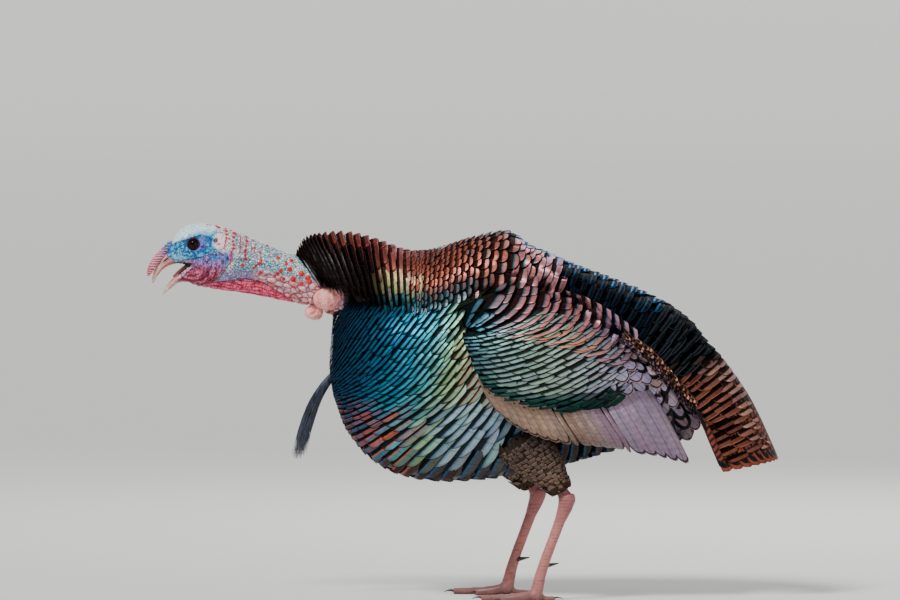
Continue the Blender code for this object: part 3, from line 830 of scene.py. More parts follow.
def back_colours(p):
    """Brown-black on the ruff, copper pink on the hump, then black with blue on the rump."""
    x = p[:, 0]
    base = ramp(x, [(-0.24, 38, 25, 22), (-0.13, 62, 42, 38), (-0.09, 110, 62, 54), (-0.05, 150, 84, 68),
                    (0.0, 184, 104, 88), (0.05, 200, 124, 112), (0.14, 204, 132, 124), (0.165, 8, 10, 15),
                    (0.36, 8, 8, 10), (0.40, 132, 62, 40)])
    teal = smooth(0.036, 0.010, cape_room(p)) * smooth(-0.10, -0.05, x) * smooth(0.05, 0.0, x)
    ridge = smooth(0.050, 0.018, np.abs(p[:, 1])) * smooth(-0.02, 0.06, x) * smooth(0.20, 0.15, x)
    return painted(base, ((52, 112, 124), 0.75 * teal), ((52, 118, 142), 0.75 * ridge))


def wing_colours(p):
    """Slate at the wrist, grey-green bands behind it and bottle green along the lower edge."""
    x, z = p[:, 0], p[:, 2]
    base = ramp(x, [(0.0, 66, 96, 106), (0.03, 84, 122, 126), (0.07, 140, 168, 158), (0.14, 158, 178, 160),
                    (0.20, 150, 152, 158), (0.26, 150, 138, 158)])
    lower_edge = np.interp(x, [0.0, 0.05, 0.10, 0.20, 0.26], [0.345, 0.305, 0.288, 0.292, 0.305])
    band = smooth(0.030, 0.010, z - lower_edge) * smooth(0.265, 0.25, x)
    return lerp(base, lerp((34, 66, 58), BLACK, smooth(0.17, 0.21, x)), band)


def varied(colours, amount):
    """Each feather's own tone, and a little of its own tint."""
    tone = CHANCE.normal(1.0, amount, (len(colours), 1))
    tint = 1 + CHANCE.normal(0, 0.04, (len(colours), 3))
    return np.clip(colours * tone * tint, 0.0, 1.0)


# ---------------------------------------------------------------- forms
COAT_DEPTH = 0.013  # how much deeper the skin lies where the coat is thickest


def form_tree(nodes, voxel, rounds):
    """A tree for casting rays at one smooth closed form made from the nodes."""
    form = softened("form", nodes, voxel, rounds)
    tree = tree_of(form)
    removed(form)
    return tree


WINGS = ["wing_left", "wing_right"]
THIGHS = ["thigh_left", "thigh_right"]
TREES = {
    "trunk": form_tree(["trunk", "neck"], 0.005, 8),
    "back": form_tree(["trunk", "mantle", "tail_coverts", "neck", "tail"], 0.004, 6),
    "whole": form_tree(["trunk", "mantle", "tail_coverts"] + WINGS + THIGHS, 0.004, 10),
    "tail": form_tree(["tail"], 0.003, 4),
    "neck": form_tree(["head", "neck"], 0.0015, 4),
    "wing": form_tree(WINGS + ["flight_left", "flight_right", "trunk"], 0.004, 4),
    "thigh_left": form_tree(["thigh_left"], 0.004, 4),
    "thigh_right": form_tree(["thigh_right"], 0.004, 4),
}


# ---------------------------------------------------------------- skin
EYE_AT = np.array([-0.4026, 0.0185, 0.5312])  # on the right side
EYE_RADIUS = 0.0095
LID_OPENING = 0.0070  # the radius of the round hole in the lids
# The corner of the mouth and the dark tuft in the ear: x, z.
GAPE, EAR_TUFT = (-0.407, 0.502), (-0.3705, 0.537)
# The upper and lower outlines of the head and neck: x, z.
CREST = [(-0.442, 0.5235), (-0.423, 0.552), (-0.405, 0.560), (-0.363, 0.5555), (-0.327, 0.544),
         (-0.288, 0.5265), (-0.2475, 0.513), (-0.17, 0.498)]
THROAT = [(-0.442, 0.504), (-0.414, 0.500), (-0.396, 0.4845), (-0.3855, 0.4755), (-0.363, 0.471),
          (-0.327, 0.479), (-0.288, 0.4695), (-0.2475, 0.450), (-0.17, 0.423)]
# The lower border of the white cap, the blue fold under the face and the dewlap's upper edge: x, z.
CAP_BORDER = [(-0.445, 0.527), (-0.432, 0.5335), (-0.4095, 0.5405), (-0.394, 0.546), (-0.378, 0.5435),
              (-0.370, 0.549), (-0.366, 0.562)]
FACE_FOLD = [(-0.430, 0.500), (-0.4095, 0.507), (-0.392, 0.511), (-0.375, 0.518), (-0.362, 0.522)]
DEWLAP_EDGE = [(-0.405, 0.466), (-0.3825, 0.4725), (-0.3525, 0.4760), (-0.327, 0.4800), (-0.3015, 0.4755),
               (-0.2745, 0.4590), (-0.250, 0.444)]
# Red beads on the side of the neck: x, z and radius, in tenths of a millimetre.
BEADS = [
    (-3836, 5609, 22), (-3790, 5612, 25), (-3696, 5572, 38), (-3660, 5545, 35), (-3558, 5563, 25),
    (-3550, 5500, 31), (-3545, 5454, 25), (-3543, 5400, 22), (-3558, 5354, 15), (-3565, 5300, 15),
    (-3572, 5245, 13), (-3427, 5463, 38), (-3441, 5409, 28), (-3445, 5354, 22), (-3436, 5300, 26),
    (-3430, 5250, 22), (-3332, 5400, 14), (-3336, 5336, 14), (-3340, 5263, 15), (-3336, 5200, 15),
    (-3260, 5414, 29), (-3238, 5349, 32), (-3249, 5281, 22), (-3256, 5218, 32), (-3256, 5154, 22),
    (-3256, 5100, 32), (-3300, 5009, 28), (-3149, 5360, 22), (-3103, 5300, 18), (-3118, 5254, 16),
    (-3121, 5200, 14), (-3034, 5178, 22), (-3027, 5072, 32), (-3045, 5036, 30), (-3100, 5000, 22),
    (-3136, 4963, 22), (-2936, 5276, 31), (-2727, 5154, 18), (-2772, 5100, 34), (-2836, 5063, 18),
    (-2572, 5063, 34), (-2649, 5018, 31), (-2718, 4918, 34), (-2772, 4881, 31), (-2590, 4936, 42),
    (-2418, 4872, 48), (-3030, 4900, 31), (-2536, 4800, 45), (-2678, 4800, 28), (-2320, 4809, 45),
    (-2292, 4754, 42), (-2412, 4730, 35),
]
# Thin red lines between the beads: x, z, in tenths of a millimetre.
RED_LINES = [
    [(-3430, 5250), (-3467, 5181), (-3470, 5110), (-3481, 5036)],
    [(-3543, 5400), (-3558, 5330), (-3572, 5245)],
    [(-3332, 5420), (-3336, 5330), (-3336, 5180)],
    [(-3245, 5400), (-3250, 5260), (-3256, 5080)],
    [(-3103, 5300), (-3118, 5254), (-3121, 5180)],
    [(-3027, 5090), (-3060, 5020), (-3136, 4950)],
]


def bead_places(tree):
    """Places and radii of the beads on both sides of the neck."""
    flat = [tuple(v / TENTHS for v in bead) for bead in BEADS]
    for row in RED_LINES:
        row = np.array(row) / TENTHS
        reach = reach_along(row)
        for place in np.arange(0.0, reach[-1], 0.0013):
            x, z = np.interp(place, reach, row[:, 0]), np.interp(place, reach, row[:, 1])
            flat.append((x, z, 0.0011 + CHANCE.uniform(-0.0002, 0.0003)))
    for _ in range(50):
        x = CHANCE.uniform(-0.350, -0.235)
        low, high = np.interp(x, *zip(*THROAT)), np.interp(x, *zip(*CREST))
        flat.append((x, low + (high - low) * CHANCE.uniform(0.3, 1.0), CHANCE.uniform(0.0010, 0.0016)))
    centres, radii = [], []
    for x, z, radius in flat:
        for side in (-1, 1):
            spot = tree.ray_cast(Vector((x, side * 0.2, z)), Vector((0, -side, 0)), 0.3)[0]
            if spot is None:
                spot = tree.ray_cast(Vector((x, side * 0.003, 0.7)), Vector((0, 0, -1)), 0.4)[0]
            centres.append(spot)
            radii.append(radius)
    return np.array(centres), np.array(radii)


def along_line(p, line, reach, core):
    """1 within the core's distance above or below a line of (x, z) places and 0 beyond the reach."""
    return smooth(reach, core, np.abs(above(p, line)))


def jaw_fold(p, reach, core):
    """1 along the fold behind the jowl."""
    x, z = p[:, 0], p[:, 2]
    fold = smooth(reach, core, np.abs(x + 0.348 - 0.7 * (z - 0.504)))
    return fold * smooth(0.512, 0.505, z) * smooth(0.474, 0.480, z)


def refined_near_eyes(thing):
    """Halves the edges round the eyes, twice close to them."""
    bm = bmesh.new()
    bm.from_mesh(thing.data)
    for reach in (0.016, 0.0125):
        near = set()
        for face in bm.faces:
            c = face.calc_center_median()
            away = math.dist((c.x, abs(c.y), c.z), EYE_AT)
            if away < reach:
                near.update(face.edges)
        bmesh.ops.subdivide_edges(bm, edges=list(near), cuts=1, use_grid_fill=True)
    bm.to_mesh(thing.data)
    bm.free()
    return thing


def eye_axis(side):
    """The way the eye looks out: sideways and a little forward."""
    return normalized(np.array([-0.20, side * 0.97, 0.08]))


def lids(points, colours):
    """Skin drawn over each eyeball, with a round opening and a raised rim."""
    for side in (-1, 1):
        centre = EYE_AT * (1, side, 1)
        axis = eye_axis(side)
        off = points - centre
        along = off @ axis
        flat = off - along[:, None] * axis
        r = np.linalg.norm(flat, axis=1)
        near = (r < 0.0155) & (along > -0.004)
        snap = near & (np.abs(r - LID_OPENING) < 0.0004)
        scale = np.where(snap, LID_OPENING / np.maximum(r, 1e-6), 1.0)
        flat = flat * scale[:, None]
        r = r * scale
        dome = np.sqrt(np.maximum((EYE_RADIUS + 0.0007) ** 2 - r**2, 0.0))
        rim = 0.0008 * bump(r, LID_OPENING + 0.0007, 0.0012)
        crease = -0.0007 * bump(r, LID_OPENING + 0.0030, 0.0012) + 0.0005 * bump(r, 0.0125, 0.0016)
        target = dome + rim
        hug = smooth(0.0150, 0.0088, r)
        new = along * (1 - hug) + np.maximum(target, along * (r > 0.0095)) * hug + crease
        inside = r < LID_OPENING - 0.0002
        new = np.where(inside, EYE_RADIUS * 0.35, new)
        moved = centre + flat + new[:, None] * axis
        points[near] = moved[near]
        ring = near & (r < 0.0108)
        # The dark blue near the outer edge of the ring lies in the crease round the lids, a painted shade.
        tone = ramp(r, [(0.0068, 20, 8, 12), (0.0073, 130, 36, 60),
                        (0.0083, 176, 92, 116), (0.0091, 96, 26, 56),
                        (0.0099, 20, 30, 84), (0.0107, 10, 80, 150)])
        share = smooth(0.0108, 0.0098, r) * ring
        colours[:] = lerp(colours, tone, share)


def head_parts(p):
    """How much each point belongs to the parts of the head and neck."""
    x, z = p[:, 0], p[:, 2]
    wander = 0.0012 * noise(p, 0.006, 3)
    ahead = x + wander
    cap = smooth(-0.0006, 0.0010, above(p, CAP_BORDER) + wander) * smooth(-0.366, -0.371, ahead)
    dewlap = smooth(0.0008, -0.0012, above(p, DEWLAP_EDGE) + 0.5 * wander) * smooth(-0.398, -0.385, x)
    dewlap = dewlap * smooth(-0.236, -0.252, x)
    face = smooth(-0.001, 0.002, above(p, FACE_FOLD) + wander) * (1 - cap) * smooth(-0.366, -0.371, ahead)
    jowl = smooth(-0.346, -0.354, ahead - 0.7 * (z - 0.504)) * (1 - cap) * (1 - face) * (1 - dewlap)
    jowl = jowl * smooth(0.525, 0.515, z)
    ear = smooth(0.0100, 0.0075, np.hypot(x + 0.3655, (z - 0.5350) * 0.8))
    neck = np.clip(1 - cap - face - jowl - dewlap, 0, 1)
    large = np.hypot((x + 0.2036) / 0.0205, (z - 0.4496) / 0.0170)
    small = np.hypot((x + 0.2235) / 0.0150, (z - 0.4265) / 0.0125)
    lobe_edge = np.minimum(large, small)
    lobes = smooth(1.06, 0.96, lobe_edge)
    base = smooth(0.024, 0.012, above(p, THROAT) - 0.2 * (x + 0.30)) * smooth(-0.322, -0.300, x)
    base = base * neck * (1 - lobes)
    return {"cap": cap, "face": face, "jowl": jowl, "dewlap": dewlap, "ear": ear, "neck": neck, "base": base,
            "lobes": lobes, "lobe_edge": lobe_edge}


def head_creases(p):
    """Ridges, from 0 to 1, of the jowl, the dewlap and the cap, and the nodules low on the neck."""
    x, y, z = p.T
    away, turn = np.hypot(x - GAPE[0], z - GAPE[1]), np.arctan2(z - GAPE[1], x - GAPE[0])
    jowl = np.abs(np.sin((away + noise(p, 0.010, 5) * 0.0035) * math.pi / 0.0052))
    folds = noise(np.stack([away * 1.3, turn * 0.010, y * 0.5], -1), 0.0034, 4)
    dewlap = np.abs(np.sin((z + 0.12 * x + noise(p, 0.010, 6) * 0.0035) * math.pi / 0.0046))
    cap = np.abs(np.sin((z * 0.8 + x * 0.5 + noise(p, 0.007, 9) * 0.005) * math.pi / 0.0058))
    first, second, own = cells(p * (0.7, 1, 1), 0.0082, 21)
    return {"jowl": jowl, "folds": folds, "dewlap": dewlap, "cap": cap, "nodule": second - first, "own": own}


def base_colours(patches, creases):
    """The pink nodules low on the neck, with painted shade in the hollows between them."""
    return painted(
        lerp((250, 206, 206), (222, 190, 224), smooth(-0.1, 0.4, patches)),
        ((236, 140, 140), smooth(0.5, 0.9, creases["own"])),
        # Painted shade in the hollows between the nodules.
        ((150, 66, 84), smooth(0.20, 0.05, creases["nodule"]) * 0.9),
    )


def face_colours(p, patches, fine, finest):
    """Blue skin round the eye, with a lilac ring behind it."""
    x, z = p[:, 0], p[:, 2]
    lilac = smooth(0.0125, 0.0105, np.hypot(x + 0.395, z - 0.534))
    lilac = lilac * smooth(-0.402, -0.390, x + 0.5 * (0.534 - z))
    return painted(
        lerp((0, 112, 196), (92, 204, 240), smooth(-0.2, 0.3, fine + 0.5 * patches)),
        ((0, 150, 200), smooth(-0.385, -0.378, x) * smooth(0.529, 0.524, z) * 0.8),
        ((150, 220, 240), smooth(-0.408, -0.424, x) * smooth(0.520, 0.512, z) * 0.7),
        ((118, 110, 200), lilac * 0.85),
        ((0, 50, 110), smooth(0.35, 0.6, finest) * 0.5),
    )


def cap_colours(p, fine, creases):
    """The white cap, bluer at its border and in patches, and bluish in its folds as painted shade."""
    edge = smooth(0.007, 0.0, above(p, CAP_BORDER) + 0.003 * fine) * smooth(-0.43, -0.41, p[:, 0])
    # Bluish in the troughs of the folds, a painted shade, and in random patches.
    edge = edge * 0.9 + 0.65 * smooth(0.36, 0.10, creases["cap"]) + 0.6 * smooth(0.45, 0.7, fine)
    return lerp((240, 252, 250), (60, 180, 216), np.clip(edge, 0, 1))


def jowl_colours(p, patches, finest, creases, deep):
    """The wrinkled jowl: blue and violet, and crimson below, with painted shade in the troughs of its
    wrinkles.
    """
    folds = creases["folds"]
    # Painted shade in the troughs of the wrinkles, with random dark specks.
    line = smooth(0.34, 0.10, creases["jowl"]) * smooth(-0.3, 0.1, patches)
    return painted(
        lerp((70, 130, 206), (178, 140, 206), smooth(-0.3, 0.3, folds + 0.4 * patches)),
        ((206, 150, 196), smooth(-0.404, -0.410, p[:, 0]) * 0.7),
        (lerp((146, 20, 52), (222, 118, 150), smooth(-0.35, 0.45, folds)), deep),
        ((46, 14, 56), np.clip(line + 0.5 * smooth(0.3, 0.6, finest), 0, 1) * 0.75),
    )


def ear_colours(x, z):
    """The pale ring of the ear, its dark tuft and a red spot."""
    tuft = smooth(0.0048, 0.0026, np.hypot(x - EAR_TUFT[0], z - EAR_TUFT[1]))
    ear = lerp((240, 216, 226), (60, 52, 50), tuft * 0.9)
    return lerp(ear, (226, 110, 96), smooth(0.0030, 0.0015, np.hypot(x + 0.3655, z - 0.5315)))


def mouth_coats(p, normals):
    """The inside of the mouth and its corner, painted dark as shade, the jaw below it and the lip above it.
    """
    x, z, up = p[:, 0], p[:, 2], normals[:, 2]
    mouth = smooth(-0.399, -0.406, x) * smooth(0.55, 0.8, np.abs(up))
    mouth = mouth * smooth(0.505, 0.5035, z) * smooth(0.478, 0.481, z)
    mouth = mouth * np.where(up < 0, smooth(0.490, 0.494, z), 1.0)
    upper = above(p, [(-0.430, 0.5040), (-0.407, 0.5035)])
    lower = above(p, [(-0.4250, 0.4840), (-0.4065, 0.5010)])
    corner = smooth(-0.4060, -0.4075, x) * smooth(0.0005, -0.0005, upper) * smooth(-0.0005, 0.0005, lower)
    below = smooth(0.0002, -0.0008, lower) * smooth(-0.4040, -0.4056, x) * smooth(0.472, 0.478, z)
    lip = above(p, [(-0.436, 0.5040), (-0.4225, 0.5068), (-0.4075, 0.5040)])
    return [
        # Painted shade inside the mouth and in its corner.
        ((60, 10, 16), mouth),
        ((26, 8, 12), corner),
        ((96, 40, 70), below * smooth(-0.0100, -0.0072, lower) * 0.8),
        ((228, 184, 206), below * smooth(-0.0062, -0.0044, lower)),
        ((226, 170, 184), bump(lip, 0.0004, 0.0011) * smooth(-0.4055, -0.4070, x)),
    ]


def lores_and_fold_shade(p):
    """The dark lores, and painted shade in the folds between the parts of the head."""
    x = p[:, 0]
    lores = np.abs(above(p, [(-0.434, 0.5215), (-0.412, 0.5345)])) * smooth(-0.445, -0.44, x)
    dark = smooth(0.0020, 0.0006, lores) * smooth(-0.436, -0.430, x) * smooth(-0.411, -0.414, x)
    dark += smooth(0.0016, 0.0004, np.abs(above(p, CAP_BORDER) + 0.0012)) * smooth(-0.37, -0.376, x) * 0.8
    dark += along_line(p, FACE_FOLD, 0.0014, 0.0003) * smooth(-0.41, -0.405, x) * smooth(-0.366, -0.372, x)
    dark += along_line(p, DEWLAP_EDGE, 0.0013, 0.0003) * smooth(-0.39, -0.385, x) * 0.8 * (x < -0.25)
    return np.clip(dark + jaw_fold(p, 0.0018, 0.0004) * 0.8, 0, 1)


def head_colours(p, normals, parts, creases):
    """The colour of the raised skin and of the gaps in it, darker partly as the skin's own colour and partly
    as painted shade.
    """
    x, z = p[:, 0], p[:, 2]
    patches, fine, finest = noise(p, 0.009, 3), noise(p, 0.0035, 4), noise(p, 0.0018, 14)
    high = above(p, THROAT)
    behind = smooth(-0.334, -0.350, x)
    violet = smooth(0.024, 0.013, high + 0.004 * patches) * smooth(-0.280, -0.310, x)
    deep = smooth(0.510, 0.486, z + 0.006 * patches + 0.1 * (x + 0.38))
    jaw = smooth(-0.420, -0.428, x) * smooth(0.503, 0.498, z)
    gaps = painted(
        (0, 84, 104),
        ((150, 70, 90), behind * 0.7),
        ((94, 86, 136), violet),
        ((150, 70, 84), parts["base"]),
        ((0, 34, 92), parts["face"]),
        ((90, 170, 190), parts["cap"]),
        (lerp((30, 24, 92), (76, 6, 30), deep), parts["jowl"]),
        ((110, 8, 34), parts["dewlap"]),
        ((196, 84, 88), parts["lobes"]),
        ((160, 90, 90), jaw),
    )
    cyan = smooth(0.15, 0.50, fine + 0.5 * smooth(0.050, 0.025, high)) * (1 - behind)
    # The dewlap: lighter pink on the crests of its ridges, a painted highlight.
    dewlap = lerp((224, 40, 88), (248, 116, 146), smooth(0.2, 1.1, creases["dewlap"] + 0.6 * fine))
    colours = painted(
        (250, 255, 255),
        ((70, 196, 220), cyan * 0.75),
        ((10, 46, 58), smooth(0.42, 0.64, finest) * 0.7 * (1 - parts["base"])),
        (lerp((196, 198, 228), (170, 146, 198), smooth(0, 0.4, fine)), violet),
        ((20, 128, 170), violet * smooth(0.012, 0.018, high) * 0.5),
        (base_colours(patches, creases), parts["base"]),
        (face_colours(p, patches, fine, finest), parts["face"]),
        (cap_colours(p, fine, creases), parts["cap"]),
        (jowl_colours(p, patches, finest, creases, deep), parts["jowl"]),
        # Painted shade in the troughs of the dewlap's ridges.
        (lerp(dewlap, (140, 10, 46), smooth(0.26, 0.06, creases["dewlap"]) * 0.6), parts["dewlap"]),
        (ear_colours(x, z), parts["ear"]),
        (lerp((250, 176, 166), (238, 136, 136), smooth(-0.2, 0.5, patches)), parts["lobes"]),
        # Painted shade in a ring round the foot of the lobes.
        ((130, 50, 64), 0.8 * bump(parts["lobe_edge"], 1.06, 0.07) * parts["neck"]),
        ((214, 160, 140), jaw),
        *mouth_coats(p, normals),
        # Painted shade in the folds, and the dark lores.
        (gaps * 0.8, lores_and_fold_shade(p) * 0.85),
    )
    return colours * (1 + 0.10 * fine)[:, None], gaps


def head_relief(p, parts, creases, centres, radii):
    """How far each point of the head and neck moves along its normal, and how much of it is bead."""
    x, z = p[:, 0], p[:, 2]
    calm = smooth(0.011, 0.015, from_eye(p)) * smooth(-0.440, -0.428, x)
    first, second, own = cells(p * (0.8, 1, 1), 0.0040, 11)
    knobs = smooth(0.0, 0.4, second - first) * (0.4 + own)
    rough = 0.0009 * knobs * (parts["neck"] * smooth(-0.36, -0.345, x) + 0.35 * parts["cap"])
    rough += 0.0030 * smooth(0.0, 0.5, creases["nodule"]) * (0.5 + creases["own"]) * parts["base"]
    first, second, _ = cells(p, 0.011, 22)
    rough += 0.0010 * smooth(0.0, 0.6, second - first) * parts["lobes"]
    rough += (0.0011 + 0.0005 * creases["cap"]) * parts["cap"]
    rough += 0.0010 * creases["jowl"] * parts["jowl"]
    rough += 0.0007 * creases["dewlap"] * parts["dewlap"]
    streaks = np.abs(np.sin((x + 0.15 * z + noise(p, 0.008, 8) * 0.002) * math.pi / 0.0034))
    rough += 0.0006 * streaks * parts["neck"] * smooth(-0.336, -0.350, x)
    rough -= 0.0011 * along_line(p, DEWLAP_EDGE, 0.0022, 0.0004) * smooth(-0.39, -0.38, x) * (x < -0.25)
    fold = along_line(p, FACE_FOLD, 0.0022, 0.0004) * smooth(-0.41, -0.40, x) * smooth(-0.36, -0.37, x)
    rough -= 0.0012 * (fold + jaw_fold(p, 0.0024, 0.0004))
    rough += 0.0004 * noise(p, 0.0035, 7)
    ear = np.hypot(x + 0.3665, z - 0.5365)
    rough -= 0.0018 * smooth(0.0028, 0.0008, ear)
    rough += 0.0008 * bump(ear, 0.0044, 0.0018)
    return beaded(p, rough * calm, centres, radii)


def beaded(p, move, centres, radii):
    """The moves with the round beads over them, and how much of each point is bead."""
    red = np.zeros(len(p))
    tree = kdtree.KDTree(len(centres))
    for i, centre in enumerate(centres):
        tree.insert(centre, i)
    tree.balance()
    for i, point in enumerate(p):
        for _, nearest, away in tree.find_n(point, 3):
            share = away / radii[nearest]
            if share < 1.3:
                dome = math.sqrt(max(1 - (share / 1.12) ** 2, 0.0))
                move[i] = max(move[i], radii[nearest] * 0.8 * dome)
                red[i] = max(red[i], 1.0 - min(max((share - 0.90) / 0.22, 0.0), 1.0))
    return move, red


def leg_relief(p):
    """Scutes in front and small scales elsewhere, with how deep in a groove each point is."""
    x, z = p[:, 0], p[:, 2]
    foot = smooth(0.022, 0.014, z)
    plates = np.abs(((z + 0.0015 * noise(p, 0.02, 31)) / 0.0052) % 1.0 - 0.5) * 2
    toes = np.abs((x / 0.0036) % 1.0 - 0.5) * 2
    grooves = smooth(0.80, 1.0, plates * (1 - foot) + toes * foot)
    first, second, _ = cells(p, 0.0036, 33)
    scales = smooth(0.16, 0.0, second - first) * smooth(-0.3, 0.3, noise(p, 0.05, 34) * 0.2)
    groove = np.maximum(grooves * 0.9, scales * 0.5)
    return (0.0004 - 0.0007 * groove) * smooth(0.0008, 0.0022, z), groove


def leg_colours(p, groove):
    base = ramp(p[:, 2], [(0.0, 120, 84, 80), (0.02, 168, 108, 102), (0.09, 186, 118, 112),
                          (0.16, 150, 92, 92)])
    base = base * (1 + 0.14 * noise(p, 0.014, 41))[:, None]
    # Painted shade in the grooves between the scutes and scales.
    return lerp(base, base * 0.42, groove * 0.8)


def body_colours(p):
    """The same markings as the feathers over it, darkened as painted shade deep in the coat."""
    x, y, z = p.T
    mantle_edge = np.interp(x, [-0.25, -0.1, 0.0, 0.08, 0.2, 0.36], [0.45, 0.44, 0.455, 0.47, 0.42, 0.28])
    upper = smooth(-0.01, 0.01, z - mantle_edge)
    wing = smooth(0.0, 0.02, x) * smooth(0.09, 0.105, np.abs(y)) * (1 - upper)
    colours = lerp(lerp(breast_colours(p), wing_colours(p), wing), back_colours(p), upper)
    # Painted shade: the skin seen between the feathers is darkened.
    return colours * 0.35


def under_neck(p):
    """1 on the top of the breast in front, where the coat is thin."""
    return smooth(-0.15, -0.17, p[:, 0]) * smooth(0.444, 0.436, p[:, 2])


def from_eye(p):
    """How far each point is from the eye's centre, seen from the side."""
    return np.linalg.norm(p * (1, 0, 1) - EYE_AT * (1, 0, 1), axis=1)


def round_hocks(thing):
    """Smooths the skin where each shank enters its thigh."""
    height = points_of(thing)[:, 2]
    group = thing.vertex_groups.new(name="hock")
    for index in np.flatnonzero((height > 0.143) & (height < 0.178)):
        group.add([int(index)], float(bump(height[index], 0.160, 0.017)), "REPLACE")
    modified(thing, "SMOOTH", factor=0.5, iterations=60, vertex_group="hock")


def body_under_coat(legs):
    """The trunk and the thighs, lowered to make room for the feathers."""
    body = softened("body_skin", ["trunk", "mantle", "tail_coverts"] + legs, 0.005, 6)
    p = points_of(body)
    thick = (0.25 + 0.75 * smooth(-0.17, -0.11, p[:, 0])) * (1 - 0.6 * under_neck(p))
    depth = 0.003 + COAT_DEPTH * smooth(0.19, 0.25, p[:, 2]) * thick
    move_points(body, p - normals_of(body) * depth[:, None])
    modified(body, "REMESH", mode="VOXEL", voxel_size=0.006)
    modified(body, "SMOOTH", factor=0.5, iterations=2)
    return body


def painted_shade_under_feathers(p, on_head):
    """1 where the skin under the ruff and the front of the breast is painted dark, as shade."""
    ruffed = np.interp(p[:, 2], [0.44, 0.46, 0.51, 0.54], [-0.200, -0.210, -0.241, -0.252])
    shadow = smooth(-0.004, 0.006, p[:, 0] - ruffed) * on_head
    lobe = smooth(0.470, 0.460, p[:, 2]) * smooth(0.010, 0.020, np.abs(p[:, 1]))
    lobe = lobe * smooth(-0.176, -0.182, p[:, 0]) * smooth(0.426, 0.431, p[:, 2])
    front = under_neck(p) * smooth(0.432, 0.426, p[:, 2]) * smooth(-0.205, -0.200, p[:, 0])
    return np.maximum(shadow * (1 - lobe), front)


def make_skin():
    """The bird's one skin: head, neck, wattle, body under the coat, shanks and feet."""
    lobes = ["caruncle_left", "caruncle_right", "caruncle_low"]
    fine = softened("fine_skin", ["head", "neck", "dewlap"] + lobes, 0.0011, 5)
    centres, radii = bead_places(tree_of(fine))
    legs = [part + name for part in ("thigh_", "shank_") for _, name in SIDES]
    shanks = [softened("leg_skin_" + n, ["shank_" + n, "foot_" + n], 0.0012, 2) for _, n in SIDES]
    for other in [body_under_coat(legs)] + shanks:
        modified(fine, "BOOLEAN", operation="UNION", solver="MANIFOLD", object=other)
        removed(other)
    round_hocks(fine)
    skin = refined_near_eyes(fine)
    skin.name = "skin"
    p, normals = points_of(skin), normals_of(skin)
    on_head = (p[:, 0] < -0.172) & (p[:, 2] > 0.41)
    on_leg = p[:, 2] < 0.168
    head, leg = p[on_head], p[on_leg]
    move, knob, crease = np.zeros(len(p)), np.zeros(len(p)), np.zeros(len(p))
    colours = body_colours(p)
    gaps = colours * 0.5
    parts, creases = head_parts(head), head_creases(head)
    colours[on_head], gaps[on_head] = head_colours(head, normals[on_head], parts, creases)
    move[on_head], red = head_relief(head, parts, creases, centres, radii)
    bare = 1 - np.clip(parts["lobes"] + 0.7 * parts["base"], 0, 1)
    knob[on_head] = (parts["neck"] * bare * (1 - parts["ear"]) + parts["cap"] * 0.35) * (1 - red)
    cracked = 1.2 - parts["neck"] - parts["cap"] - 0.6 * parts["lobes"]
    crease[on_head] = np.clip(cracked, 0.15, 1) * (1 - red)
    tone = lerp((168, 0, 22), (214, 34, 30), smooth(-0.2, 0.3, noise(head, 0.005, 9)))
    tone = lerp(tone, (176, 0, 40), 0.7 * smooth(-0.29, -0.33, head[:, 0]))
    colours[on_head] = lerp(colours[on_head], tone, red)
    move[on_leg], groove = leg_relief(leg)
    colours[on_leg] = leg_colours(leg, groove)
    gaps[on_leg] = colours[on_leg] * 0.5
    coat_shade = painted_shade_under_feathers(p, on_head)
    # Painted shade: the skin under the ruff and the front of the breast is painted near black, navy below the
    # neck.
    dark = lerp((20, 12, 11), (4, 9, 14), under_neck(p))
    colours, gaps = lerp(colours, dark, coat_shade), lerp(gaps, dark * 0.6, coat_shade)
    p = p + normals * move[:, None]
    lids(p, colours)
    knob = knob * (1 - coat_shade) * smooth(0.0095, 0.012, from_eye(p))
    crease = crease * (1 - coat_shade) * smooth(0.0095, 0.011, from_eye(p))
    p[:, 2] = np.maximum(p[:, 2], 0.0)
    move_points(skin, p)
    put_colour(skin, "paint", np.clip(colours, 0.0, 1.0))
    put_colour(skin, "gaps", np.clip(gaps, 0.0, 1.0))
    put_number(skin, "knob", knob)
    put_number(skin, "crease", crease)
    dress(skin, skin_material())
    settle(skin, "head_skin", "head", "neck", "dewlap", "trunk", *lobes, *legs, "foot_left", "foot_right")


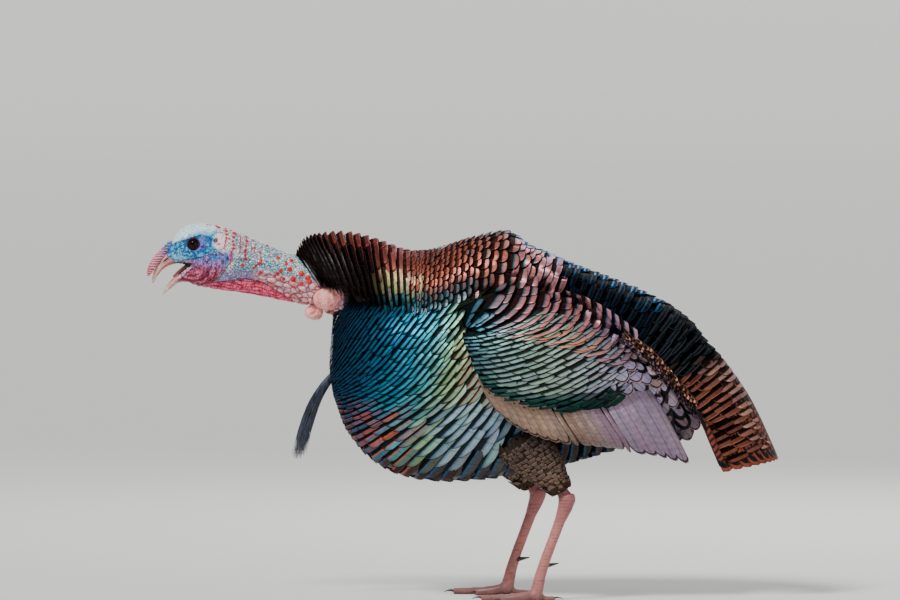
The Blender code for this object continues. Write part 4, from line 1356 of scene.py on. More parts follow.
def skin_material():
    """Bare skin: round papillae where knob is 1, and creases like cracked leather where crease is 1. The gaps
    colour in the hollows and cracks is partly the skin's own colour and partly painted shade.
    """
    s = Shading("skin", 0.42)
    knob, crease = s.attribute("knob"), s.attribute("crease")
    bulge = s.cells(250.0)
    between = s.times(s.step(0.13, 0.05, bulge), knob)
    cracked = s.cells(260.0)
    cracks = s.times(s.step(0.22, 0.04, cracked), crease)
    cracks = s.times(cracks, s.step(0.36, 0.56, s.noise(170.0, 2.0)))
    deep = s.maths("MINIMUM", s.plus(between, cracks), 1.0)
    # The gaps colour in the hollows between papillae and in the cracks: the skin's own colour and painted
    # shade.
    colour = s.mix(s.times(deep, 0.9), s.tint("paint"), s.tint("gaps"))
    specks = s.times(s.step(0.60, 0.70, s.noise(900.0, 3.0)), 0.22)
    colour = s.mix(specks, colour, s.tint("gaps"))
    mottled = s.scaled(s.noise(260.0, 4.0), 0.5, 0.76)
    s.colour(s.mix(1.0, colour, mottled, "MULTIPLY"))
    height = s.times(s.maths("MINIMUM", bulge, 0.3), s.times(knob, 7.0))
    leather = s.times(s.maths("MINIMUM", cracked, 0.15), s.times(crease, 5.0))
    height = s.plus(height, s.plus(leather, s.times(s.noise(1500.0, 2.0), 0.3)))
    s.relief(height, 0.0006, 0.9)
    s.set(Roughness=s.scaled(s.noise(300.0, 2.0), 0.30, 0.28))
    s.set(Subsurface_Weight=0.08, Subsurface_Radius=(0.003, 0.0012, 0.0008), Subsurface_Scale=1.0)
    s.set(Specular_IOR_Level=0.3)
    return s


# ---------------------------------------------------------------- eyes, bill, snood, claws
def eyeball(name, centre, axis):
    """A ball with its pole at the pupil."""
    bm = bmesh.new()
    bmesh.ops.create_uvsphere(bm, u_segments=64, v_segments=48, radius=EYE_RADIUS - 0.0001)
    turn = Vector((0, 0, 1)).rotation_difference(Vector(axis)).to_matrix()
    bmesh.ops.rotate(bm, cent=(0, 0, 0), matrix=turn, verts=bm.verts)
    bmesh.ops.translate(bm, vec=Vector(centre), verts=bm.verts)
    mesh = bpy.data.meshes.new(name)
    bm.to_mesh(mesh)
    bm.free()
    mesh.shade_smooth()
    return linked(bpy.data.objects.new(name, mesh))


def make_eyes():
    for side, name in SIDES:
        centre, axis = EYE_AT * (1, side, 1), eye_axis(side)
        eye = eyeball("eyeball_" + name, centre, axis)
        p = points_of(eye)
        off = (p - centre) / EYE_RADIUS
        angle = np.degrees(np.arccos(np.clip(off @ axis, -1, 1)))
        move_points(eye, p + axis * (0.0003 * smooth(36, 10, angle))[:, None])
        streaks = noise(off, 0.16, 3) * 0.25
        colours = ramp(angle, [(0, 2, 2, 3), (20, 2, 2, 3), (22, 26, 12, 9), (30, 38, 18, 12),
                               (37, 20, 10, 9), (41, 6, 4, 5), (60, 10, 6, 8)])
        put_colour(eye, "paint", np.clip(colours * (1 + streaks)[:, None], 0, 1))
        s = Shading("eye_" + name, 0.12)
        s.colour(s.tint("paint"))
        s.set(Coat_Weight=0.5, Coat_Roughness=0.02, Coat_IOR=1.25, Specular_IOR_Level=0.05)
        dress(eye, s)
        settle(eye, "eye", "eye_" + name)


def upper_bill(p, move):
    """The upper bill's colours, with the nostril's rim and its hole painted dark as shade, and its relief."""
    x, z = p[:, 0], p[:, 2]
    nostril = np.hypot((x + 0.4455) / 0.0042, (z - 0.5075 - 0.75 * (x + 0.4455)) / 0.0014)
    move = move - 0.0012 * smooth(1.3, 0.5, nostril) + 0.0004 * bump(nostril, 1.7, 0.6)
    colours = ramp(x, [(-0.468, 216, 190, 166), (-0.452, 214, 178, 160), (-0.442, 190, 130, 132),
                       (-0.434, 130, 150, 180)])
    rim = ((176, 96, 104), smooth(3.4, 1.6, nostril) * 0.7)
    # The nostril's hole is painted near black, a painted shade.
    return colours, move, [rim, ((14, 8, 10), smooth(1.3, 0.8, nostril))]


def lower_bill(p, move):
    """The lower bill's colours and relief."""
    x = p[:, 0]
    colours = ramp(x, [(-0.452, 222, 206, 188), (-0.438, 206, 180, 164), (-0.424, 190, 140, 150)])
    colours = lerp(colours, (170, 90, 110), smooth(-0.2, 0.5, noise(p, 0.005, 12)) * 0.4)
    return colours, move + 0.0007 * smooth(-0.447, -0.436, x), []


def make_bill():
    for name, looks, inner_side in (("upper_bill", upper_bill, -1), ("lower_bill", lower_bill, 1)):
        piece = softened(name + "_horn", [name], 0.0006, 8)
        p, normals = points_of(piece), normals_of(piece)
        rings = np.sin((p[:, 0] + 0.3 * p[:, 2] + 0.001 * noise(p, 0.006, 2)) * 2 * math.pi / 0.0026)
        colours, move, marks = looks(p, 0.00010 * rings + 0.00012 * noise(p, 0.003, 5))
        streaks = 0.16 * noise(p * (0.25, 1, 1), 0.0016, 8) + 0.10 * noise(p, 0.006, 9)
        inside = smooth(0.25, 0.6, inner_side * normals[:, 2])
        colours = painted(colours * (1 + streaks)[:, None], *marks, ((186, 84, 66), inside * 0.85))
        move_points(piece, p + normals * move[:, None])
        put_colour(piece, "paint", np.clip(colours, 0, 1))
        s = Shading(name + "_horn", 0.30)
        tone = s.scaled(s.noise(700.0, 4.0, (0.3, 1.0, 1.0)), 0.5, 0.76)
        s.colour(s.mix(1.0, s.tint("paint"), tone, "MULTIPLY"))
        s.relief(s.noise(1300.0, 3.0, (0.3, 1.0, 1.0)), 0.00012, 0.6)
        s.set(Roughness=s.scaled(s.noise(500.0, 2.0), 0.3, 0.22))
        s.set(Subsurface_Weight=0.08, Subsurface_Radius=(0.002, 0.001, 0.0006), Subsurface_Scale=1.0)
        dress(piece, s)
        settle(piece, "bill_horn", name)


def fleshy_material(name, roughness):
    s = Shading(name, roughness)
    colour = s.tint("paint")
    tone = s.scaled(s.noise(500.0, 4.0), 0.5, 0.76)
    s.colour(s.mix(1.0, colour, tone, "MULTIPLY"))
    s.relief(s.noise(1100.0, 3.0), 0.0002, 0.7)
    s.set(Subsurface_Weight=0.12, Subsurface_Radius=(0.003, 0.0012, 0.0008), Subsurface_Scale=1.0)
    return s


def make_snood():
    """The ringed snood, blue at its root and pink towards its end, darker in the grooves between its rings as
    painted shade.
    """
    snood = softened("snood_flesh", ["snood"], 0.0006, 4)
    p, normals = points_of(snood), normals_of(snood)
    run = np.interp(-p[:, 0], [0.435, 0.472], [0.0, 1.0])
    reach = np.interp(p[:, 2], [0.484, 0.534], [0.0625, 0.0])
    rings = np.sin((reach + 0.0012 * noise(p, 0.004, 3)) * 2 * math.pi / 0.0047)
    colours = painted(
        ramp(run + 0.05 * noise(p, 0.004, 5), [(0.0, 50, 130, 190), (0.25, 150, 130, 186),
             (0.45, 226, 150, 170), (0.8, 232, 156, 170), (1.0, 214, 110, 120)]),
        ((40, 130, 176), 0.8 * smooth(0.55, 0.30, run) * smooth(-0.2, 0.5, normals[:, 2])),
        # Painted shade in the grooves between the rings.
        ((120, 30, 56), smooth(-0.2, -0.8, rings)),
    )
    move = 0.0008 * rings + 0.0004 * noise(p, 0.0028, 4)
    move_points(snood, p + normals * move[:, None])
    put_colour(snood, "paint", np.clip(colours, 0, 1))
    dress(snood, fleshy_material("snood_flesh", 0.42))
    settle(snood, "wattle_skin", "snood")


def make_tongue():
    """The tongue, thicker than its solid, which leaves a gap above the lower bill. It darkens towards the
    back of the mouth as painted shade.
    """
    tongue = softened("tongue_flesh", ["tongue"], 0.0005, 4)
    p = points_of(tongue)
    deeper = normals_of(tongue) * (0, 0, 1) * 0.0024 * smooth(-0.438, -0.424, p[:, 0])[:, None]
    deeper[:, 2] -= 0.0034 * smooth(-0.410, -0.426, p[:, 0])
    # Painted shade: darker towards the back of the mouth.
    colours = ramp(p[:, 0], [(-0.436, 150, 84, 74), (-0.424, 96, 44, 38), (-0.414, 22, 9, 10)])
    move_points(tongue, p + deeper)
    put_colour(tongue, "paint", colours)
    dress(tongue, fleshy_material("tongue_flesh", 0.28))
    settle(tongue, "wattle_skin", "tongue")


def make_claws():
    names = [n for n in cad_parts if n.startswith(("claw_", "spur_"))]
    claws = softened("claws", names, 0.0006, 4)
    s = Shading("claw_horn", 0.34)
    tone = s.step(0.3, 0.75, s.noise(260.0, 4.0, (0.4, 1.0, 1.0)))
    s.colour(s.mix(tone, shade(34, 24, 20), shade(96, 72, 58)))
    s.relief(s.noise(1000.0, 3.0, (0.3, 1.0, 1.0)), 0.00015, 0.7)
    dress(claws, s)
    settle(claws, "claw_horn", *names)


def tubes(name, paths, roots, radius):
    """Closed tapering square tubes through paths of the same length, as one mesh with its OFBake map."""
    paths = np.asarray(paths)
    sides, (count, stations, _) = 4, paths.shape
    ahead = normalized(np.gradient(paths, axis=1))
    side = normalized(np.cross(ahead, np.array([0.31, 0.22, 0.93])))
    up = np.cross(side, ahead)
    turns = np.linspace(0, 2 * math.pi, sides, endpoint=False)
    taper = (1 - 0.75 * np.linspace(0, 1, stations) ** 3)[None, :, None, None]
    ring = side[:, :, None] * np.cos(turns)[:, None] + up[:, :, None] * np.sin(turns)[:, None]
    points = paths[:, :, None] + ring * radius * taper
    each = stations * sides
    s, j = np.meshgrid(np.arange(stations - 1) * sides, np.arange(sides), indexing="ij")
    near, far = s + j, s + (j + 1) % sides
    quad = np.stack([near, far, far + sides, near + sides], -1).reshape(1, -1, 4)
    caps = np.array([[3, 2, 1, 0], [each - 4, each - 3, each - 2, each - 1]])[None]
    quads = np.concatenate([quad, caps], axis=1) + np.arange(count)[:, None, None] * each
    thing = mesh_object(name, points.reshape(-1, 3), quads.reshape(-1, 4))
    patch = np.meshgrid(np.linspace(-0.5, 0.5, stations), np.linspace(-0.5, 0.5, sides), indexing="ij")
    places = np.asarray(roots)[:, None, None] + BAKE_PATCH * np.stack(patch, -1)
    put_bake_map(thing, places.reshape(-1, 2))
    return thing


# The middle of the beard, from its root to its end: x, z.
BEARD_LINE = [(-0.1800, 0.352), (-0.1965, 0.350), (-0.2120, 0.332), (-0.2250, 0.306), (-0.2355, 0.2745),
              (-0.2430, 0.2415), (-0.2480, 0.2080)]


def make_beard():
    """A tassel of wiry bristles that hangs from the breast."""
    u = np.linspace(0, 1, 14)
    centre = resampled(BEARD_LINE, len(u), 30)
    breadth = np.interp(u, [0, 0.2, 0.6, 0.85, 1.0], [0.006, 0.009, 0.010, 0.009, 0.006])
    paths, roots = [], []
    for _ in range(300):
        angle, reach = CHANCE.uniform(0, 2 * math.pi), math.sqrt(CHANCE.uniform(0, 1))
        across, out = math.cos(angle) * reach, math.sin(angle) * reach
        end = CHANCE.uniform(0.80, 1.0) if CHANCE.uniform() < 0.8 else CHANCE.uniform(0.55, 0.85)
        share = np.linspace(0, end, len(u))
        thick = np.interp(share, u, breadth)
        wave = 0.0012 * np.sin(share * CHANCE.uniform(6, 14) + CHANCE.uniform(0, 6)) * share
        x = np.interp(share, u, centre[:, 0]) + out * thick + wave + CHANCE.normal(0, 0.0035) * share**3
        y = across * thick + wave * 0.8 + CHANCE.normal(0, 0.002) * share**2
        z = np.interp(share, u, centre[:, 1]) + out * thick * 0.25
        paths.append(np.stack([x, y, z], -1))
        roots.append((0.5 + 0.45 * across, 0.5 + 0.45 * out))
    beard = tubes("beard_bristles", paths, roots, 0.00055)
    s = Shading("beard_bristles", 0.36)
    tone = s.noise(240.0, 3.0, (1.0, 1.0, 0.2))
    s.colour(s.mix(s.step(0.35, 0.7, tone), shade(20, 20, 26), shade(64, 78, 104)))
    s.set(Sheen_Weight=0.3)
    dress(beard, s)
    settle(beard, "beard_bristles", "beard")


def make_neck_hair(tree):
    """Sparse dark bristles on the head and neck."""
    paths, roots = [], []
    for _ in range(900):
        x = CHANCE.uniform(-0.425, -0.225)
        low, high = np.interp(x, *zip(*THROAT)), np.interp(x, *zip(*CREST))
        z = low + (high - low) * CHANCE.uniform(0.25, 0.97)
        side = CHANCE.choice([-1, 1])
        root, normal = tree.ray_cast(Vector((x, side * 0.2, z)), Vector((0, -side, 0)), 0.3)[:2]
        if root is None or math.dist((root.x, abs(root.y), root.z), EYE_AT) < 0.012:
            continue
        ear = math.dist((x, z), EAR_TUFT) < 0.004
        length = 0.0045 if ear else CHANCE.uniform(0.0018, 0.0036)
        way = (normal * 0.45 + Vector((0.8, 0, -0.25)) + Vector(CHANCE.normal(0, 0.15, 3))).normalized()
        paths.append([tuple(root - normal * 0.0004 + way * length * t) for t in (0, 0.5, 1.0)])
        around = math.atan2(root.y, root.z - (low + high) / 2) / (2 * math.pi)
        roots.append(((x + 0.430) / 0.210, 0.5 + 0.98 * around))
    hair = tubes("neck_bristles", paths, roots, 0.00016)
    s = Shading("neck_bristles", 0.5)
    s.colour(shade(34, 34, 42))
    dress(hair, s)
    settle(hair, "head_skin")


# ---------------------------------------------------------------- plumage
# Lines inside the body and the lie of the feathers there: x, z, slope below +X in degrees, and for the
# breast how far the feathers' rows are carried forward on the under side.
BACK_LINE = [(-0.250, 0.480, -36), (-0.215, 0.480, -31), (-0.180, 0.470, -23), (-0.140, 0.460, -14),
             (-0.100, 0.455, -3), (-0.050, 0.455, 4), (0.000, 0.460, 2), (0.050, 0.460, 6),
             (0.100, 0.455, 14), (0.150, 0.440, 20), (0.200, 0.420, 26), (0.250, 0.390, 34),
             (0.300, 0.355, 42), (0.345, 0.320, 50), (0.380, 0.280, 58)]
BREAST_LINE = [(-0.178, 0.435, 34, -0.01), (-0.165, 0.412, 34, -0.01), (-0.135, 0.385, 36, 0.01),
               (-0.090, 0.355, 38, 0.045), (-0.030, 0.330, 38, 0.05), (0.050, 0.318, 30, 0.03),
               (0.120, 0.316, 16, 0.0), (0.190, 0.320, 5, 0.0), (0.260, 0.326, -6, 0.0),
               (0.330, 0.320, -15, 0.0)]
COVERT_LINE = [(0.250, 0.385, 36), (0.300, 0.350, 43), (0.345, 0.325, 50), (0.375, 0.298, 56),
               (0.3954, 0.2674, 62), (0.4121, 0.2296, 66)]
TAIL_LINE = [(0.3519, 0.340, 49), (0.3749, 0.3039, 56), (0.3954, 0.2674, 62), (0.4121, 0.2296, 66)]
TAIL_BEYOND = 0.0448  # how far the middle tail feathers reach past the last place of that line
THIGH_LINE = [(0.035, 0.270, 48), (0.052, 0.240, 55), (0.075, 0.208, 57), (0.095, 0.180, 57),
              (0.110, 0.158, 58)]
# Rows of places across the lie of the feathers: x, z, in tenths of a millimetre.
# Those of the flank lie between the wing and the tail coverts.
FLANK_ROWS = [
    [(2050, 3350), (2280, 3720), (2450, 4050)],
    [(2420, 3000), (2680, 3400), (2880, 3720)],
    [(2820, 2680), (3050, 3030), (3220, 3320)],
    [(3150, 2400), (3350, 2720), (3500, 3000)],
]
# Those of the quills run from under the coverts to the quills' tips.
QUILL_ROWS = [
    [(200, 3350), (630, 3120), (1080, 3040), (1530, 3040), (1980, 3120), (2350, 3280), (2620, 3500)],
    [(330, 3100), (660, 2900), (1140, 2730), (1620, 2700), (2120, 2720), (2580, 2780), (2980, 2850)],
    [(480, 2890), (750, 2620), (1250, 2420), (1750, 2350), (2300, 2290), (2850, 2180), (3400, 2050)],
]
WING_ROWS = [
    [(-15, 3975), (255, 4005), (555, 4080), (855, 4200), (1230, 4395)],
    [(45, 3795), (405, 3825), (780, 3930), (1155, 4095), (1530, 4320)],
    [(120, 3600), (555, 3645), (960, 3765), (1380, 3975), (1785, 4230)],
    [(210, 3405), (660, 3450), (1110, 3585), (1560, 3810), (2010, 4095)],
    [(315, 3210), (780, 3255), (1275, 3405), (1755, 3645), (2220, 3945)],
    [(465, 3030), (930, 3060), (1455, 3210), (1935, 3465), (2385, 3780)],
    [(705, 2880), (1155, 2895), (1650, 3030), (2115, 3300), (2535, 3600)],
    [(1005, 2760), (1455, 2760), (1905, 2880), (2325, 3150), (2670, 3450)],
]
SCAPULAR_ROWS = [
    [(0, 4140), (15, 4290), (60, 4425), (135, 4530), (225, 4620)],
    [(45, 4110), (165, 4290), (285, 4470), (375, 4605), (435, 4725)],
    [(105, 4080), (375, 4260), (570, 4440), (675, 4605), (720, 4755)],
    [(255, 4050), (645, 4200), (870, 4395), (960, 4575), (990, 4740)],
    [(450, 4005), (870, 4140), (1125, 4335), (1215, 4530), (1215, 4710)],
    [(675, 3960), (1095, 4080), (1350, 4290), (1425, 4485), (1395, 4665)],
    [(915, 3915), (1320, 4020), (1560, 4230), (1635, 4425), (1590, 4620)],
    [(1170, 3870), (1545, 3960), (1770, 4155), (1845, 4350), (1800, 4560)],
    [(1425, 3810), (1770, 3885), (1980, 4065), (2055, 4245), (2010, 4455)],
    [(1695, 3735), (1995, 3795), (2175, 3960), (2250, 4140), (2220, 4335)],
    [(1950, 3630), (2205, 3690), (2355, 3855), (2430, 4020), (2400, 4200)],
]


def make_back(grid):
    """The ruff, the mantle, the humped back, the rump and the upper tail coverts."""
    ruff = Coat()
    spacing = by_x((-0.25, 0.0050), (-0.215, 0.0064), (-0.195, 0.0110), (-0.120, 0.0120), (-0.090, 0.0100),
                   (-0.055, 0.0085))
    cover(ruff, grid, ruff_colours, spacing, -5.0, 20.0, reach=2.4, reference=0.30, breadth=1.0,
          aspect=by_x((-0.25, 3.4), (-0.20, 2.4), (-0.10, 1.9), (-0.06, 1.6)), jitter=0.03,
          raised=by_x((-0.25, 50), (-0.20, 52), (-0.14, 48), (-0.06, 30)), blunt=6.0, columns=9,
          arch=0.02, unrest=0.5, tuck=1.2, curve=0.85, rim=0.0010, open=0.75, dim=0.10, shine=0.3,
          edge=ruff_edge, glow=lambda p, c: c * 1.3,
          keep=lambda p: (cape_room(p) > -0.003) & (p[:, 0] > -0.262))
    ruff.finish("ruff_feathers", FEATHERS, "back_feathers")
    back = Coat()
    spacing = by_x((-0.14, 0.0080), (-0.05, 0.0075), (0.0, 0.0095), (0.05, 0.0145), (0.09, 0.0185))
    cover(back, grid, back_colours, spacing, 18.5, 38.5, aspect=1.7, reference=0.30,
          raised=by_x((-0.06, 22), (0.05, 20), (0.10, 18)), blunt=2.3, breadth=0.68, curve=0.6,
          rim=by_x((-0.14, 0.0010), (0.0, 0.0014), (0.09, 0.0022)), arch=0.03, open=0.80, shine=0.15,
          inner=lambda p, c: c * (0.30 + (0.05 - 0.30) * smooth(-0.03, 0.03, p[:, 0]))[:, None],
          keep=lambda p: cape_room(p) > -0.006, variety=0.18, glow=back_glow, tuck=2.0)
    back.finish("back_feathers", FEATHERS, "back_feathers", "mantle")
    rump = Coat()
    spacing = by_x((0.09, 0.0165), (0.16, 0.0140), (0.36, 0.0165))
    cover(rump, grid, back_colours, spacing, 35.0, 58.0, reach=2.2, reference=0.30,
          aspect=by_x((0.10, 1.5), (0.17, 2.4), (0.36, 2.2)), breadth=0.72, open=0.72, dim=0.05,
          raised=18.0, blunt=3.0, keep=lambda p: cape_room(p) > -0.006, shine=0.8,
          glow=rump_sheen, curve=0.6, arch=0.03, tuck=2.0)
    rump.finish("rump_feathers", FEATHERS, "covert_feathers", "tail_coverts")


def back_glow(p, outer):
    """The line between a feather's dark base and its face: orange on the hump, teal towards the wing."""
    share = np.clip(smooth(0.02, -0.005, cape_room(p) - 0.012) + smooth(0.05, 0.10, p[:, 0]), 0, 1)
    share = np.clip(share + CHANCE.normal(0, 0.4, len(p)), 0, 1)
    return painted((196, 96, 52), (outer, 0.45), ((48, 112, 124), share))


def ruff_colours(p):
    """Nearly black in front, with copper pink along the top of its back part, then cream and teal."""
    room = cape_room(p)
    behind = ramp(room, [(0.0, 34, 92, 110), (0.014, 50, 112, 122), (0.026, 140, 142, 108),
                         (0.046, 170, 152, 112), (0.058, 140, 76, 66), (0.09, 150, 78, 72)])
    return painted((20, 12, 11), (behind, smooth(-0.130, -0.092, p[:, 0])),
                   ((124, 60, 50), smooth(0.082, 0.098, room) * 0.9))


def ruff_edge(p, outer):
    """The ruff's rims are brown pink on top and dark on the sides."""
    share = smooth(0.060, 0.092, cape_room(p))
    return lerp((44, 30, 27), (150, 80, 70), share)


def rump_sheen(p, outer):
    """The feathers' bright blue line, brightest near the ridge as painted sheen, fading down the sides and to
    the rear.
    """
    # Painted sheen: the blue is strongest along the top.
    share = smooth(0.070, 0.02, np.abs(p[:, 1])) * smooth(0.38, 0.25, p[:, 0])
    pink = smooth(0.17, 0.14, p[:, 0]) * 0.5
    return lerp(outer * 1.6, (40, 120, 176), np.clip(0.9 * share + pink + 0.05, 0, 1))


def make_breast(grid):
    """The breast's broad feathers and the softer ones of the belly."""
    for side, name in SIDES:
        coat = Coat()
        spacing = by_x((-0.2, 0.0055), (-0.13, 0.0075), (-0.08, 0.0088), (-0.03, 0.0125), (0.2, 0.015))
        cover(coat, grid, breast_colours, spacing, -4.0, 66.0, aspect=2.6, reference=0.75,
              raised=18.0, blunt=by_x((-0.08, 4.5), (-0.02, 3.0), (0.05, 2.6)), arch=0.02, rim=0.0011,
              breadth=0.92, jitter=0.10, unrest=0.8, tuck=1.6, curve=0.6, open=0.80, dim=0.07,
              variety=0.16, glow=breast_glow, shine=0.35,
              keep=lambda p: (cape_room(p) < 0.02) & (p[:, 1] * side > -0.002) & outside_wing(p)
              & (p[:, 0] > -0.212))
        coat.finish("breast_feathers_" + name, FEATHERS, "breast_feathers")


def breast_glow(p, outer):
    """Deeper blue beside each dark base, and orange here and there low on the breast."""
    low = smooth(0.31, 0.27, p[:, 2]) * smooth(0.3, 1.0, np.abs(CHANCE.normal(0, 1, len(p))))
    wing_side = smooth(-0.01, 0.015, p[:, 0]) * smooth(0.29, 0.32, p[:, 2])
    share = np.clip(low * smooth(-0.04, -0.09, p[:, 0]) * 0.8 + wing_side * 0.6, 0, 1)
    return painted(outer, ((24, 96, 140), 0.6), ((206, 96, 44), share))


def outside_wing(p):
    """Whether a place is in front of the wing or below it."""
    x, z = p[:, 0], p[:, 2]
    low = np.interp(x, [-0.01, 0.0, 0.05, 0.1, 0.2, 0.21, 0.24], [0.6, 0.43, 0.32, 0.30, 0.28, 0.30, 0.41])
    return z < low


def make_wings(grids):
    """Each wing's coverts with the green row at their lower edge, its scapulars and its quills."""
    for name, grid in grids.items():
        coat = Coat()
        spacing = by_x((0.02, 0.0062), (0.08, 0.0080), (0.15, 0.0098), (0.25, 0.0110))
        cover(coat, grid["wing"], wing_colours, spacing, -3.0, 55.0, aspect=2.4,
              raised=18.0, blunt=4.5, arch=0.02, rim=0.0010, breadth=0.90, open=0.72,
              dim=0.06, curve=0.6, tuck=1.8, unrest=0.8, jitter=0.09, shine=0.35,
              glow=lambda p, c: lerp(c, (40, 96, 110), 0.5))
        cover(coat, grid["wing"], lambda p: shade(24, 52, 44), steady(0.0120),
              52.0, 60.0, aspect=2.2, reach=2.0, reference=0.4, raised=12.0, blunt=4.0, arch=0.02,
              rim=0.0010, breadth=0.9, open=0.95, curve=0.6, tuck=1.5, unrest=0.5, jitter=0.02,
              variety=0.06, keep=lambda p: p[:, 0] < 0.235)
        coat.finish("wing_feathers_" + name, FEATHERS, "wing_feathers", "wing_" + name)
        coat = Coat()
        cover(coat, grid["scapular"], scapular_colours, steady(0.0180), -4.0, 58.0, aspect=1.1,
              reach=2.0, raised=20.0, blunt=5.0, arch=0.02, over=0.001,
              breadth=0.95, open=0.64, dim=0.03, curve=0.6, tuck=1.6, unrest=0.6, jitter=0.06,
              shine=0.3, glow=lambda p, c: lerp(c, (36, 104, 124), 0.8))
        coat.finish("scapular_feathers_" + name, FEATHERS, "wing_feathers")
        make_quills(grid["quills"], name)


def make_quills(grid, name):
    """The wing's secondaries in a closed fan, each over the one in front of it."""
    coat = Coat()
    count = 19
    order = np.arange(count)
    turn = np.linspace(0.02, 0.97, count) * (grid.points.shape[1] - 1)
    share = smooth(0.45, 0.75, order / (count - 1))
    outer = varied(lerp((138, 112, 98), (134, 116, 132), share), 0.06)
    coat.add(grid, np.zeros(count), turn, grid.reach(turn), np.full(count, 0.0165), raised=3.0,
             run=np.full(count, float(grid.last)),
             over=0.0008 + 0.0002 * order, blunt=2.6, arch=0.10,
             stations=np.concatenate([np.linspace(0, 0.9, 11), [0.95, 0.985, 1.0]]),
             outer=outer, inner=outer, glow=outer * 1.25, edge=shade(48, 38, 36),
             rim=0.0022, shine=0.20 - 0.06 * share, pitch=620.0)
    coat.finish("quills_" + name, BARRED, "flight_feathers", "flight_" + name)


def make_tail(grid, coverts):
    """Eighteen tail feathers folded over one another, and the long coverts over their bases."""
    coat = Coat()
    count = 18
    place = (np.arange(count) + 0.5) / count
    turn = place * (grid.points.shape[1] - 1)
    out = np.abs(place * 2 - 1)
    buried = 4.0
    beyond = TAIL_BEYOND - 0.020 * out**2
    run = buried + grid.last + beyond / grid.pace(np.full(count, grid.last - 1.0), turn)
    length = grid.reach(turn) + buried * grid.pace(np.zeros(count), turn) + beyond
    rust = varied(np.full((count, 3), shade(112, 56, 42)), 0.08)
    coat.add(grid, np.full(count, -buried), turn, length, np.full(count, 0.0185), raised=1.0, run=run,
             over=0.0004 - 0.0005 * np.abs(np.arange(count) - 8.5), blunt=3.2, arch=0.08, columns=9,
             roll=6 * (place * 2 - 1),
             stations=np.concatenate([np.linspace(0, 0.92, 19), [0.96, 0.985, 1.0]]),
             outer=rust, inner=rust, glow=shade(128, 62, 46), edge=BLACK, rim=0.0060, shine=0.95, pitch=700.0)
    coat.finish("tail_quills", BARRED, "tail_feathers", "tail")
    coat = Coat()
    cover(coat, coverts, tail_colours, by_x((0.28, 0.0155), (0.40, 0.0135)), -3.0, 47.0,
          reach=2.4, reference=0.3, aspect=2.0, breadth=0.85, raised=16.0, blunt=3.6, rim=0.0014, shine=0.3,
          open=0.60, dim=0.03, arch=0.03, tuck=1.6, curve=0.6, glow=tail_glow, variety=0.15,
          edge=tail_edge, keep=lambda p: cape_room(p) > -0.012)
    coat.finish("tail_covert_feathers", FEATHERS, "covert_feathers")


def tail_colours(p):
    """Black over the tail's root, then rust, with pinkish tan along the ridge."""
    x, y, z = p.T
    ridge = smooth(0.055, 0.035, np.abs(y)) * smooth(0.365, 0.345, z)
    return painted((9, 10, 12), ((106, 62, 50), smooth(0.345, 0.315, z + 0.15 * (x - 0.36))),
                   ((184, 136, 122), ridge))


def tail_glow(p, outer):
    return lerp(outer, (44, 56, 64), 0.5 * smooth(0.33, 0.35, p[:, 2]))


def tail_edge(p, outer):
    """Thin pale lines on the black coverts and tan ones on the rust."""
    pale = lerp((150, 92, 72), (50, 60, 66), smooth(0.33, 0.35, p[:, 2]))
    return lerp(pale, outer * 0.1, (CHANCE.uniform(0, 1, len(p)) < 0.4) * 1.0)


def make_flanks(grids):
    """Broad lilac feathers with black ends behind the wing, and a fringe of small tan ones above them."""
    for name in grids:
        coat = Coat()
        cover(coat, grids[name], flank_colours, steady(0.0190), -2.0, 40.0, aspect=1.15,
              raised=9.0, rim=lambda p: 0.0013 + 0.0014 * black_ended(p),
              over=0.001, shine=0.0, glow=flank_glow, jitter=0.12,
              keep=lambda p: (fringe_height(p) < -0.012) & (p[:, 2] > 0.238) & (np.abs(p[:, 1]) < 0.14))
        coat.finish("flank_feathers_" + name, BARRED, "covert_feathers")
        coat = Coat()
        cover(coat, grids[name], fringe_colours, steady(0.0066), -2.0, 43.0, aspect=0.8, reach=2.8,
              reference=0.8, raised=20.0, blunt=1.9, rim=0.0011, variety=0.35, open=0.85, dim=0.05,
              over=0.005, unrest=9.0, jitter=0.3, shine=0.5, keep=lambda p: fringe_height(p) > -0.026)
        coat.finish("fringe_feathers_" + name, FEATHERS, "covert_feathers")


def black_ended(p):
    """1 for the flank feathers with broad black ends, 0 for the others."""
    return (noise(p, 0.012, 71) > 0.08) * 1.0


def flank_glow(p, outer):
    return painted(outer, ((206, 160, 134), 0.6), (BLACK, black_ended(p)))


def fringe_height(p):
    """How far above the upper border of the flank each place is."""
    return p[:, 2] - np.interp(p[:, 0], [0.245, 0.288, 0.322, 0.350], [0.405, 0.372, 0.332, 0.300])


def fringe_colours(p):
    tone = smooth(-0.6, 0.6, CHANCE.normal(0, 1, len(p)))
    base = lerp((84, 48, 38), (176, 126, 104), tone)
    return lerp(base, (110, 96, 116), smooth(-0.012, -0.020, fringe_height(p)) * 0.7)


def flank_colours(p):
    base = lerp((150, 140, 168), (150, 122, 126), smooth(-0.2, 0.3, noise(p, 0.03, 61)))
    return lerp(base, (96, 78, 76), smooth(0.30, 0.26, p[:, 2]) * 0.7)


def thigh_grid(side, name):
    """The near thigh is further back than the far one."""
    line = [(x + 0.042 * (side < 0), z, slope) for x, z, slope in THIGH_LINE]
    return ring_grid(TREES["thigh_" + name], line, (-178, 178), 36, 50, shift=side * 0.072)


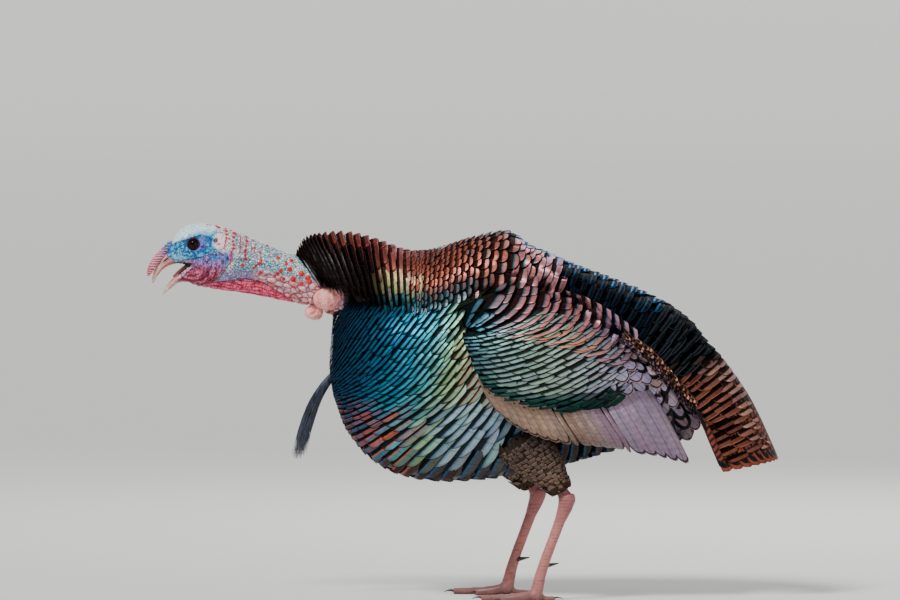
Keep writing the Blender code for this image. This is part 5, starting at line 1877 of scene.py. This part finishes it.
def make_thighs(grids):
    for side, name in SIDES:
        coat = Coat()
        cover(coat, grids[name], thigh_colours, steady(0.0070), 1.0, 34.5, aspect=1.3, reach=2.6,
              reference=0.5 + 0.25 * side, raised=6.0, rim=0.0009, unrest=4.0, jitter=0.2,
              shine=0.25, edge=lambda tips, outer: outer * 0.25)
        coat.finish("thigh_feathers_" + name, FEATHERS, "thigh_feathers")


def thigh_colours(p):
    return ramp(p[:, 2], [(0.16, 120, 96, 80), (0.20, 96, 78, 68), (0.26, 60, 54, 56)])


def scapular_colours(p):
    """Blue grey low in front, salmon in the middle, peach at the lower ends of the bands."""
    x, z = p[:, 0], p[:, 2]
    low = np.interp(x, [0.08, 0.13, 0.18, 0.22], [0.392, 0.400, 0.398, 0.385])
    return painted(
        (76, 122, 138),
        ((206, 130, 128), smooth(0.02, 0.11, x + 0.35 * (z - 0.44))),
        ((48, 120, 136), smooth(0.455, 0.475, z) * 0.6),
        ((212, 146, 118), smooth(0.012, 0.002, z - low) * smooth(0.07, 0.10, x)),
        ((140, 118, 150), smooth(0.19, 0.23, x) * 0.6),
    )


FEATHERS = feather_material()
BARRED = barred_material()
make_back(ring_grid(TREES["back"], BACK_LINE, (-108, 108), 80, 80))
make_breast(ring_grid(TREES["trunk"], BREAST_LINE, (32, 328), 70, 100))
make_tail(ring_grid(TREES["tail"], TAIL_LINE, (-118, 118), 40, 60),
          ring_grid(TREES["back"], COVERT_LINE, (-112, 112), 50, 60))
make_flanks({name: side_grid(TREES["whole"], side, FLANK_ROWS, 40, 30) for side, name in SIDES})
make_wings({
    name: {
        "wing": side_grid(TREES["wing"], side, WING_ROWS),
        "scapular": side_grid(TREES["whole"], side, SCAPULAR_ROWS),
        "quills": side_grid(TREES["wing"], side, QUILL_ROWS, 30, 60),
    }
    for side, name in SIDES
})
make_thighs({name: thigh_grid(side, name) for side, name in SIDES})
make_skin()
make_eyes()
make_bill()
make_snood()
make_tongue()
make_claws()
make_beard()
make_neck_hair(TREES["neck"])


# ---------------------------------------------------------------- floor, light and camera
def make_floor():
    """A plain pale floor that curves up far away."""
    around = 96
    rise = np.radians(np.linspace(0, 75, 26))
    out = np.concatenate([[0.02, 10.0], 40.0 + 30.0 * np.sin(rise)])
    up = np.concatenate([[0.0, 0.0], 30.0 * (1 - np.cos(rise))])
    turns, level = np.meshgrid(np.linspace(0, 2 * math.pi, around, endpoint=False), np.arange(len(out)))
    places = np.stack([out[level] * np.cos(turns), out[level] * np.sin(turns), up[level]], -1)
    ring, turn = np.meshgrid(np.arange(len(out) - 1) * around, np.arange(around), indexing="ij")
    near, far = ring + turn, ring + (turn + 1) % around
    quads = np.stack([near, near + around, far + around, far], -1)
    floor = mesh_object("floor", places.reshape(-1, 3), quads.reshape(-1, 4), np.arange(around)[None])
    s = Shading("floor", 0.75)
    s.colour(shade(220, 218, 214))
    dress(floor, s)


def make_light():
    """Soft studio light: a sky, a wide sun, a fill in front and a rim light behind."""
    world = bpy.data.worlds.new("studio")
    world.use_nodes = True
    sky = world.node_tree.nodes["Background"].inputs
    sky["Color"].default_value = (0.78, 0.84, 0.92, 1.0)
    sky["Strength"].default_value = 0.32
    bpy.context.scene.world = world
    data = bpy.data.lights.new("key", "SUN")
    data.energy = 3.5
    data.angle = math.radians(16)
    key = linked(bpy.data.objects.new("key", data))
    key.rotation_euler = Vector((0.55, 0.70, -1.0)).to_track_quat("-Z", "Y").to_euler()
    make_lamp("fill", Vector((1.8, -2.0, 0.8)), 2.0, 14.0)
    make_lamp("rim", Vector((0.8, 2.2, 2.0)), 1.4, 45.0)


def make_lamp(name, place, size, power):
    """A square lamp that faces the middle of the bird."""
    data = bpy.data.lights.new(name, "AREA")
    data.size = size
    data.energy = power
    lamp = linked(bpy.data.objects.new(name, data))
    lamp.location = place
    lamp.rotation_euler = (Vector((0, 0, 0.35)) - place).to_track_quat("-Z", "Y").to_euler()


def make_camera():
    """A long lens far off to the bird's left, looking slightly down."""
    data = bpy.data.cameras.new("camera")
    data.lens = 300
    data.sensor_width = 36
    data.clip_end = 1000
    camera = linked(bpy.data.objects.new("camera", data))
    away, tilt = 11.25, math.radians(2.0)
    camera.location = (-0.0195, -away * math.cos(tilt), 0.447 + away * math.sin(tilt))
    camera.rotation_euler = (math.radians(90) - tilt, 0, 0)
    bpy.context.scene.camera = camera


make_floor()
make_light()
make_camera()
